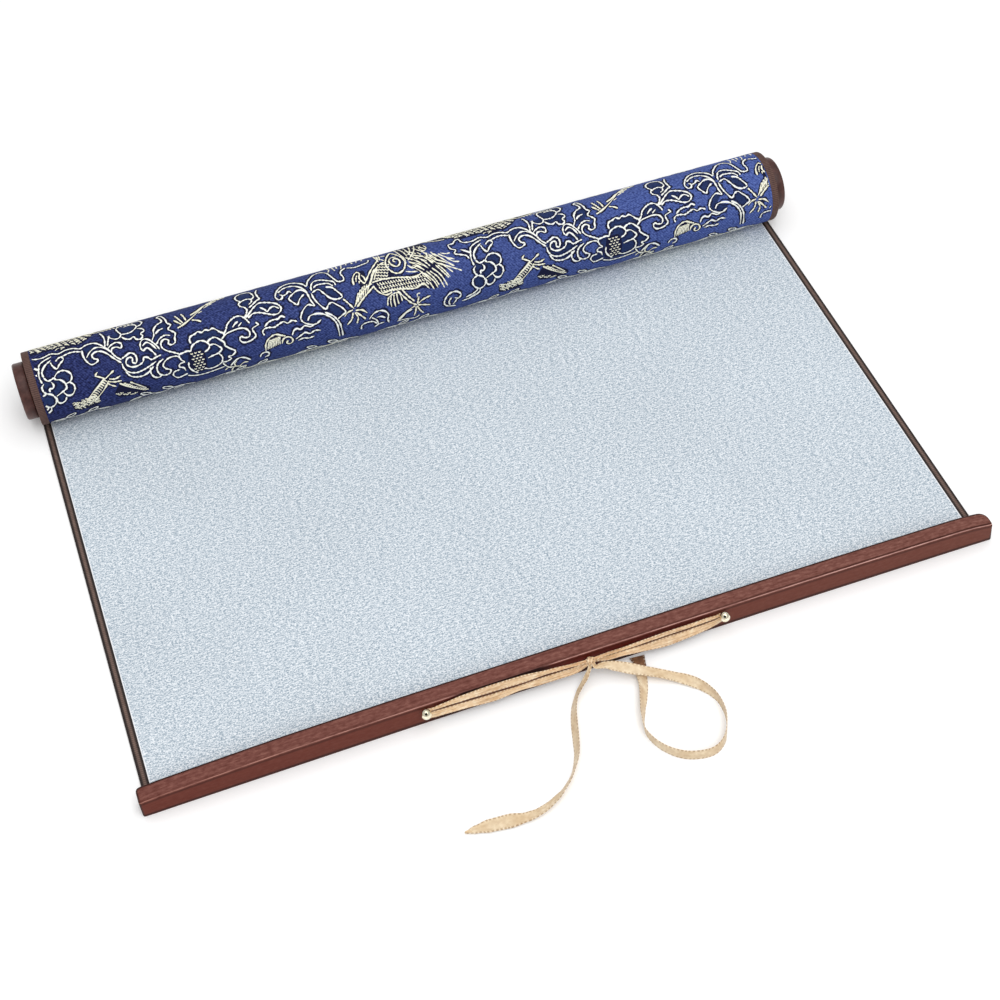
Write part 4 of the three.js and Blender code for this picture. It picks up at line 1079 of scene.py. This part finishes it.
# Short strokes that fill the dragon, its mane, fur and claws.
HATCH = [
    [(184.8, 6.6), (185.4, 4.2), (186.4, 2.8)], [(186, 8), (186.6, 6.4)],
    [(188.6, 3.4), (189.6, 5), (189.8, 7.4)], [(181, 18.6), (182.4, 15.6), (184, 12.8)],
    [(182.6, 17.8), (184, 14.4), (185.6, 11.4)], [(184.2, 16.8), (185.6, 13.4), (187.2, 10.2)],
    [(185.8, 15.7), (187.2, 12.4), (188.4, 9.8)], [(187.4, 14.7), (188.6, 11.8), (189.8, 9.6)],
    [(189, 13.5), (190.6, 10.6)], [(211.6, -12), (213, -5), (214.6, 1), (214, 4)],
    [(214, -12), (215.6, -6), (216.4, -1)], [(217, -12), (217.6, -6), (218.6, -1), (221, 3)],
    [(220, -12), (219.4, -6), (218, -2)], [(223, -11), (221.6, -5), (219, -1), (216, 2)],
    [(226, -8), (224.6, -5), (226.4, -2), (228.4, -4), (227.6, -7.4)], [(222.6, -2), (224, 0.4)],
    [(225.6, -0.4), (227, 2), (226, 4)], [(229.6, 0.4), (230.4, 2.6)],
    [(216, 3), (219.4, 6.2), (222.6, 10.4)], [(223.4, 11.2), (226.6, 16), (228.4, 20.4)],
    [(218, 1.6), (221.6, 5.4), (225, 10)], [(225.4, 11.8), (229, 16.4), (231, 22.6)],
    [(220.6, 1), (223.6, 4.6), (226.4, 9)], [(227, 10.4), (230.4, 15), (232.4, 20.2), (232.8, 22)],
    [(223, 0.4), (225.6, 3.6), (228.4, 8.2)], [(229.4, 9.4), (232.4, 14.4), (234.6, 18)],
    [(225.6, 2), (228, 4.8), (230, 8)], [(230.6, 9.6), (233, 13), (235.4, 17.6)],
    [(228, 1.4), (230, 4.4), (232, 7.4)], [(232.4, 9), (234.6, 11.8), (237.6, 15.6)],
    [(230.6, 2), (233, 5.2), (236, 9), (239.4, 12.6)], [(233, 3), (236.4, 6.4), (240.6, 9)],
    [(234.4, 3), (237, 4.4), (239.4, 4.6)], [(236.6, 7.4), (239.6, 10), (242.6, 11)],
    [(216.6, 6.4), (220, 10), (222.6, 14), (224.4, 17)],
    [(222, 12), (224.6, 15.4), (226.4, 18.4), (227.4, 21.6)],
    [(221, 14.6), (223.4, 17.4), (224.6, 20.4), (225.2, 22)], [(219, 16.6), (221.4, 19), (222.6, 20.8)],
    [(214.6, 5), (217, 7.6), (219.4, 7), (221, 8.6)], [(212.6, 8.4), (216, 9.6), (219, 10)],
    [(199.6, 19.4), (198.4, 21.6), (198, 24)], [(201, 19), (200, 22), (200, 25.4)],
    [(202.6, 18.8), (202, 22), (202.2, 26)], [(204.2, 18.6), (204, 21.6), (204.2, 24.8)],
    [(205.8, 18.4), (206.2, 21), (206.4, 23.6)], [(198.6, 20.4), (200.6, 19), (204, 18.2), (206.6, 19)],
    [(215, 24), (215.4, 22), (217, 22)], [(199.6, -12), (200, -6), (200.4, -3)],
    [(202.4, -12), (202, -7), (201.6, -4)], [(192.6, 8), (194.6, 4.4), (196.6, 1.6)],
    [(194.4, 8.4), (196.2, 5.2), (198.4, 2)], [(173, -12.5), (173.6, -9), (172.4, -6)],
    [(175.6, -12.5), (176, -9), (176.4, -6)], [(178.2, -12.5), (178, -8)],
    [(181, -12.5), (180.6, -9), (179.8, -6)], [(184, -12.5), (183.6, -9.4)], [(187, -12.5), (187, -9)],
    [(190, -12.5), (189.2, -9)], [(193, -12.5), (192.4, -9.4)],
    [(216.7, -6.9), (219.3, -3.9), (221.8, -1.2)], [(216.6, -2.9), (220.3, -0.5), (223.8, 2)],
    [(221.2, -7.6), (224.3, -2.9), (227.5, 1.1)], [(224, -8.3), (226.2, -5.3), (227.8, -3.1)],
    [(215.2, -0.4), (216.9, 0.9), (218.4, 2.9)], [(220.5, 1.7), (223.2, 3.7), (225.7, 5.8)],
    [(216.8, 3.7), (219.5, 5.1), (222.9, 7.8)], [(217.2, 5.8), (219.8, 7.5), (221.9, 9.5)],
    [(229.7, 1.8), (230.9, 3.2), (231.6, 4.7)], [(232.9, 3.6), (236.2, 6.4), (238.9, 9.7)],
    [(229.9, 5.9), (234.3, 8.7), (239.3, 12.6)], [(230, 8.1), (235.5, 11.6), (242.7, 16.1)],
    [(227.8, 2.1), (228.8, 4.3), (230.1, 5.5)], [(226.2, 4.2), (227.8, 6), (228.9, 7.7)],
    [(201.1, -7.5), (203.6, -8), (205.3, -7.3)], [(199.8, -5.2), (202.1, -4.8), (203.6, -2.8)],
    [(102, -4.6), (104.6, -6), (107, -7)], [(104, -6.6), (106.6, -8), (109, -8.6)],
    [(107, -8.4), (110, -9.6)], [(106, -10.6), (109, -12), (112, -12.6)], [(110.6, -10.4), (113.6, -11.4)],
    [(98.4, -1.4), (100.6, -2.4)],
]

# The lower limit, as (u, v) points, of the strokes on the dragon's body at the top of the roll.
BODY_FOOT_U = [0, 3, 8, 19, 22, 26, 29, 34, 38, 43]
BODY_FOOT_V = [-9.4, -8.6, -5.6, -5.4, -3.6, -2.6, -3.8, -3.6, -6, -11]
BODY_TOP_V = -13.6
U_STEP, V_STEP = 0.755, 0.57


def stroke(u, v, *steps):
    """A short stroke through points that are counted from (u, v)."""
    return [(u + du, v + dv) for du, dv in steps]


def scattered(k, low, width, step):
    """A value between low and low + width that jumps about as k counts up, the same at each run."""
    return low + width * (k * step % 1)


def dragon_texture():
    """Rows of scales on the dragon's body and neck, and the small marks of flower hearts and limbs."""
    lines = list(HATCH)
    # body and neck
    for row in range(3):
        for k in range(18):
            u = 195.4 + 1.5 * k + 0.5 * row
            v = 10.4 + 0.08 * (u - 195) + row * 2.15
            lines.append(stroke(u, v, (0, 0), (0.3, 1.0), (1.1, 1.7)))
    for row in range(4):
        for k in range(6):
            u, v = 196.2 + 1.55 * row + 0.75 * k, 7.8 - 1.7 * k + 0.55 * row
            lines.append(stroke(u, v, (-0.6, -0.4), (0.2, 0.5), (0.9, -0.3)))
    # fan among the clouds
    for k in range(8):
        lines.append([(128.8 + k * 1.0, 30.4 - k * 0.2), (129.6 + k * 0.95, 27.4 - k * 0.25),
                      (130.8 + k * 0.85, 24.8 - 0.1 * k)])
    # limbs with fur
    for k in range(34):
        u = scattered(k, 22.4, 13.6, U_STEP)
        v = scattered(k, 30.2, 5.2, V_STEP) - 0.12 * (u - 22)
        bend = 0.9 * math.sin(2.4 * k)
        lines.append(stroke(u, v, (-0.9, bend), (0.2, -0.5), (1.1, 0.5 - bend)))
    for k in range(11):
        u, v = 49.4 + 1.05 * k, 25.8 + 0.82 * k
        lines.append(stroke(u, v, (0, 1.2), (0.9, 0.6), (1.9, 0.8 + 0.5 * math.sin(2.0 * k))))
    for k in range(9):
        u, v = 44.6 + 1.2 * k, 31.4 + 0.5 * k + 0.8 * math.sin(2.2 * k)
        lines.append(stroke(u, v, (0, 0), (0.8, 0.8), (1.7, 0.3)))
    for k in range(11):
        u, v = 41.0 - 1.02 * k, 22.0 + 0.94 * k
        lines.append(stroke(u, v, (-1.1, -1.0), (0.2, -0.3), (1.0, 0.9)))
    # heart of the large flower
    for k in range(8):
        for j in range(3):
            u, v = 88 + 2.1 * j + (1.0 if k % 2 else 0), 20.2 + 1.55 * k
            lines.append(stroke(u, v, (0, 0), (0.7, 0.5), (1.3, 0.1)))
    # body at the top of the roll and on its back
    for row in range(3):
        for k in range(22):
            u, v = -4 + 2.2 * k + 1.1 * row, -14.4 - 1.3 * row - 0.03 * k
            lines.append(stroke(u, v, (0, 0), (0.9, -0.9), (1.8, 0)))
    for k in range(112):
        u = scattered(k, 0.5, 43.0, U_STEP)
        foot = np.interp(u, BODY_FOOT_U, BODY_FOOT_V)
        v = scattered(k, BODY_TOP_V, foot - BODY_TOP_V, V_STEP)
        bend = 0.8 * math.sin(1.9 * k)
        lines.append(stroke(u, v, (-1.1, bend), (0, -0.4), (1.2, 0.3 - bend)))
    for k in range(9):
        u, v = 47.4 + 2 * k, -10.6 + 0.2 * k
        lines.append(stroke(u, v, (-0.3, -1.6), (0.1, -0.4), (0.7, 0.8)))
    return lines


# Ground behind the dragon and the flower hearts, woven nearly black.
DARK_PATCHES = [
    [(193, 9.4), (203, 9.2), (212, 10.6), (222, 11.4), (226, 14), (227.6, 21.6), (222, 20.6), (216, 18.8),
     (204, 17.2), (199, 18), (195, 15.6)],
    [(189, 9), (194, 3), (199, -3), (204, -1), (204.4, 5), (206, 8.6), (200, 9.8), (192, 10.6)],
    [(180, 19.8), (182, 14), (186, 9.6), (183.6, 4), (187, 1), (190.4, 0.4), (191, 9), (193, 11.4),
     (186, 16.6)],
    [(216, 3), (221, 0), (226, 1), (231, 3.6), (235, 8), (234, 14.6), (230.6, 19.4), (226.6, 18.6),
     (221.6, 12.6), (217, 8)],
    [(210, -13), (226, -13), (228.6, -3), (222, 0), (214.6, 2), (213.4, -4)],
    [(87, 19.4), (94.4, 19.4), (95.6, 26), (93.6, 32.4), (87, 32.4), (85.6, 26)],
    [(198, 20), (206.8, 18.4), (206.6, 23.4), (202, 25.8), (198, 24)],
    [(0, -8.4), (3, -7.6), (8, -4.2), (19, -4), (22.6, -2.2), (26, -1.2), (29, -2.4), (34, -2.2),
     (38.6, -4.8), (44, -10.4), (52, -12.6), (53.6, -16), (48, -19.4), (36, -18.4), (20, -17.6), (4, -17.4),
     (-4, -19.4), (-7, -24.6), (-11, -26.4), (-12.4, -20), (-9.6, -13.6), (-5, -10)],
    [(127.8, 31), (128.6, 26.4), (131, 23.8), (134.5, 22.8), (138, 24.4), (136.6, 29)],
    [(21.4, 30), (30, 28.6), (41, 20), (44.6, 21.4), (36.8, 30), (35, 35.6), (22, 36)],
    [(44, 31), (48.6, 25.4), (53, 26), (63, 33.6), (62, 36.4), (46, 35)],
]


def make_pattern():
    threads = thread_material("brocade_thread", srgb(242, 246, 232), WHITE, 0.5)
    gold = thread_material("brocade_gold", srgb(232, 228, 194), srgb(255, 255, 244), 0.45)
    shade = thread_material("brocade_shade", srgb(10, 13, 38), srgb(20, 24, 62), 0.7)
    leaf = thread_material("brocade_leaf", srgb(20, 34, 76), srgb(38, 57, 104), 0.6)
    patches, shades = Strips(LEAF_LIFTS), Strips(SHADE_LIFTS)
    cream, golden = Strips(VINE_LIFTS), Strips(GOLD_LIFTS)
    vines = [smooth_line(points) for points in LINES + sprays()]
    beast = [smooth_line(points) for points in GOLD]
    fine = [smooth_line(points) for points in dragon_texture()]
    fills = [smooth_line(points + points[:1], OUTLINE_SPACING)[:-1] for points in PATCHES]
    darks = [smooth_line(points + points[:1], OUTLINE_SPACING)[:-1] for points in DARK_PATCHES]
    for shift in repeats():
        for outline in fills:
            patches.patch(outline, shift)
        for outline in darks:
            shades.patch(outline, shift)
        for points in vines:
            shades.line(points, VINE_SHADE_WIDTH, shift)
            cream.line(points, VINE_WIDTH, shift)
        for points in beast:
            shades.line(points, GOLD_SHADE_WIDTH, shift)
            golden.line(points, GOLD_WIDTH, shift)
        for points in fine:
            golden.line(points, FINE_WIDTH, shift)
    for name, strips, material in (("pattern_leaf_ground", patches, leaf), ("pattern_outline", shades, shade),
                                   ("pattern_thread", cream, threads), ("pattern_gold_thread", golden, gold)):
        obj = make_mesh(name, strips.verts, strips.faces, material, sharp=80)
        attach(obj, "outer_turn")


# Hanging rod, nails, roller and knobs
# The rod is planed lower and a little forward towards each end: (share of the half length from the end, drop
# of the top, shift to the front).
ROD_ENDS = {
    -1: [(0, 3.9, 0.9), (0.003, 3.2, 0.9), (0.014, 2.7, 0.9), (0.035, 2.3, 0.9), (0.058, 2, 0.8),
         (0.122, 1.5, 0.7), (0.186, 1, 0.6), (0.25, 0.5, 0.5), (0.32, 0.1, 0.4), (0.45, 0, 0.2),
         (0.59, 0, 0)],
    1: [(0, 2.4, 0.9), (0.012, 2, 0.9), (0.025, 1.5, 0.9), (0.048, 0.9, 0.8), (0.08, 0.4, 0.75),
        (0.154, 0.2, 0.6), (0.31, 0, 0.4), (0.45, 0, 0.15), (0.59, 0, 0)],
}
ROD_EDGE = 0.8
ROD_REBATE = 1.0
ROD_LIP = -TUCK - 0.1
FRONT_CORNER = 1.2
BACK_CORNER = {-1: 1.8, 1: 4.2}
END_SLANT = 0.9
SLANT_REACH = 20
END_STOPS = [0, 0.15, 0.5, 1, 1.8, 2.9, 4.2, 6, 8, 11, 15, 20]
EVEN_FROM, EVEN_TO, EVEN_COUNT = 26, ROD_HALF - 4, 34
CAP_AROUND = 13
CAP_STRETCH = 600


def corner_cut(radius, from_end):
    """How far a rounded corner of this radius draws the side in, near the end."""
    return radius - math.sqrt(radius ** 2 - (radius - from_end) ** 2) if from_end < radius else 0.0


def rod_ring(side, from_end):
    """One section of the rod as points (x, y, z) and their place round it, 0 at the front foot to FOOT."""
    shares = [row[0] * ROD_HALF for row in ROD_ENDS[side]]
    drop = np.interp(from_end, shares, [row[1] for row in ROD_ENDS[side]])
    forward = np.interp(from_end, shares, [row[2] for row in ROD_ENDS[side]])
    top = ROD_H - drop - ROD_EDGE
    front = -ROD_D - forward + corner_cut(FRONT_CORNER, from_end)
    back = max(ROD_BACK - forward - corner_cut(BACK_CORNER[side], from_end), ROD_LIP + 0.4)
    slant = END_SLANT * max(0.0, 1 - from_end / SLANT_REACH) if side > 0 else 0.0
    outline = [(front, 0.0, 0), (ROD_LIP, 0.0, 5), (ROD_LIP, ROD_REBATE, 6), (back, ROD_REBATE, 12)]
    turns = [math.radians(15 * k) for k in range(7)]
    for k, turn in enumerate(turns):
        outline.append((back - ROD_EDGE * (1 - math.cos(turn)), top + ROD_EDGE * math.sin(turn),
                        BACK_EDGE + k / 3))
    for k, turn in enumerate(turns):
        outline.append((front + ROD_EDGE * (1 - math.sin(turn)), top + ROD_EDGE * math.cos(turn),
                        FRONT_EDGE + k / 3))
    outline.append((front, 0.3, FOOT))
    return [((side * (ROD_HALF - from_end) + slant * (1 - 2 * z / ROD_H), y, z), around)
            for y, z, around in outline]


def make_hanging_rod():
    stops = END_STOPS + list(np.linspace(EVEN_FROM, EVEN_TO, EVEN_COUNT))
    rings = [rod_ring(-1, d) for d in stops] + [rod_ring(1, d) for d in reversed(stops)]
    verts = [place(*at) for ring in rings for at, _ in ring]
    uvs = [(at[0], around) for ring in rings for at, around in ring]
    faces = loft_faces(len(rings), len(rings[0]))
    rod = make_mesh("hanging_rod_wood", verts, faces, rod_material(), uvs, sharp=38)
    caps = rod.data.uv_layers[0].data
    for cap in list(rod.data.polygons)[-2:]:
        for loop, vert in zip(cap.loop_indices, cap.vertices):
            caps[loop].uv.y = CAP_AROUND + CAP_STRETCH * rod.data.vertices[vert].co.z
    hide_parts("hanging_rod")
    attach(rod, "rod_and_sheet")


def make_nails():
    brass = brass_material()
    stand, ball, middle, shank, depth = 1.4, 2.6, 1.2, 0.9, 6.0
    steps, segments = 20, 40
    start = -math.asin(middle / ball)
    profile = [(0, -stand - depth), (shank, -stand - depth), (shank, 0)]
    for k in range(steps):
        turn = start + (math.pi / 2 - start) * k / steps
        profile.append((ball * math.cos(turn), middle + ball * math.sin(turn)))
    profile.append((0, middle + ball))
    for name, x in (("left", NAIL_L), ("right", NAIL_R)):
        nail = lathe(f"nail_{name}", profile, segments, brass, place(x, -ROD_D - stand, NAIL_Z), (0, -1, 0))
        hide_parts(f"hanger_nail_{name}")
        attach(nail, "rod_and_sheet")


def make_roller():
    wood = wood_material("knob_wood", srgb(56, 25, 20), srgb(78, 42, 36), srgb(98, 63, 56), 0.4, (60, 60, 60))
    core = wood_material("roller_wood", srgb(120, 92, 66), srgb(158, 126, 94), srgb(182, 150, 116), 0.65)
    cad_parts["roller_rod"].data.materials.clear()
    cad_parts["roller_rod"].data.materials.append(core)
    spigot_r, spigot_l, bevel, edge = 4.5, 16, 0.4, 1.2
    flat_r, dome, segments = 9.0, 0.02, 72
    profile = [(0, -spigot_l), (spigot_r - bevel, -spigot_l), (spigot_r, bevel - spigot_l), (spigot_r, 0),
               (KNOB_R - 0.4, 0), (KNOB_R - 0.1, 0.15), (KNOB_R, 0.5), (KNOB_R, KNOB_L - 1.4)]
    profile += [(KNOB_R - edge + edge * math.cos(a), KNOB_L - edge + edge * math.sin(a))
                for a in (math.radians(15 * k) for k in range(1, 7))]
    profile += [(flat_r, KNOB_L - dome), (0, KNOB_L)]
    for name, side in (("left", -1), ("right", 1)):
        centre = place(side * KNOB_X, FLAT, ROLL_R)
        knob = lathe(f"knob_{name}", profile, segments, wood, centre, (side, 0, 0))
        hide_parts(f"roller_knob_{name}")
        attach(knob, "roller")


# Floor, world and lamps, in metres
FLOOR_HALF = 6
FLOOR_Z = -0.0003
FLOOR_GREY = (0.8, 0.79, 0.78, 1)
GLOW_FROM, GLOW_TO = 0.45, 1.3
WORLD_SEEN, WORLD_LIGHT = 0.43, 0.57
LAMPS = (("key", (0.1, 0.0, 1.5), 1.6, 7.6), ("front", (0.0, -1.0, 1.45), 1.2, 11.8))
CARD_R = 0.5
CARD_BEHIND = 0.05
CARD_SIDES = 32


def seen_by(tree, *rays):
    """1 for rays of the named kinds, else 0."""
    path = add(tree, "ShaderNodeLightPath")
    total = path.outputs[rays[0]]
    for ray in rays[1:]:
        total = maths(tree, "ADD", total, path.outputs[ray], clamp=True)
    return total


def flat_object(name, corners, material):
    mesh = bpy.data.meshes.new(name)
    mesh.from_pydata([tuple(v) for v in corners], [], [tuple(range(len(corners)))])
    mesh.materials.append(material)
    obj = bpy.data.objects.new(name, mesh)
    scene.collection.objects.link(obj)
    return obj


def make_floor():
    """A white table that gives back a little less light than the camera sees, and glows white far away."""
    mat, tree, bsdf = new_material("floor")
    seen = seen_by(tree, "Is Camera Ray", "Is Glossy Ray", "Is Transmission Ray")
    spread = add(tree, "ShaderNodeVectorMath", {0: coordinates(tree, "Object")}, operation="LENGTH")
    far = span(tree, spread.outputs["Value"], GLOW_FROM, GLOW_TO, 0.05, 0.7)
    set_inputs(tree, bsdf, {"Base Color": mixed(tree, seen, FLOOR_GREY, WHITE), "Roughness": 0.95,
                            "Specular IOR Level": 0.0, "Emission Color": WHITE,
                            "Emission Strength": times(tree, seen, far)})
    corners = [(x * FLOOR_HALF, y * FLOOR_HALF, FLOOR_Z) for x, y in ((-1, -1), (1, -1), (1, 1), (-1, 1))]
    flat_object("floor", corners, mat)


def make_world():
    world = bpy.data.worlds.new("studio")
    scene.world = world
    world.use_nodes = True
    tree = world.node_tree
    seen = seen_by(tree, "Is Camera Ray", "Is Transmission Ray")
    strength = maths(tree, "ADD", times(tree, seen, WORLD_SEEN), WORLD_LIGHT)
    set_inputs(tree, tree.nodes["Background"], {"Strength": strength, "Color": WHITE})


def make_lamps():
    for name, at, size, power in LAMPS:
        lamp = bpy.data.lights.new(name, "AREA")
        lamp.size = size
        lamp.energy = power
        obj = bpy.data.objects.new(name, lamp)
        scene.collection.objects.link(obj)
        obj.location = at
        obj.rotation_mode = "QUATERNION"
        obj.rotation_quaternion = (Vector((0, 0, 0)) - Vector(at)).to_track_quat("-Z", "Y")


def make_lens_card():
    """A dark card round the lens, which only mirror-like surfaces see."""
    black, tree, bsdf = new_material("lens_card")
    set_inputs(tree, bsdf, {"Base Color": (0.01, 0.01, 0.01, 1), "Specular IOR Level": 0.0})
    turns = [2 * math.pi * k / CARD_SIDES for k in range(CARD_SIDES)]
    inner_edge_shade = [scene.camera.matrix_world @ Vector((CARD_R * math.cos(a), CARD_R * math.sin(a), CARD_BEHIND))
           for a in turns]
    card = flat_object("lens_card", inner_edge_shade, black)
    for ray in ("camera", "diffuse", "transmission", "volume_scatter", "shadow"):
        setattr(card, f"visible_{ray}", False)


make_camera()
make_ribbons()
make_sheet()
make_pattern()
make_hanging_rod()
make_nails()
make_roller()
make_floor()
make_world()
make_lamps()
make_lens_card()
scene.view_settings.view_transform = "Standard"
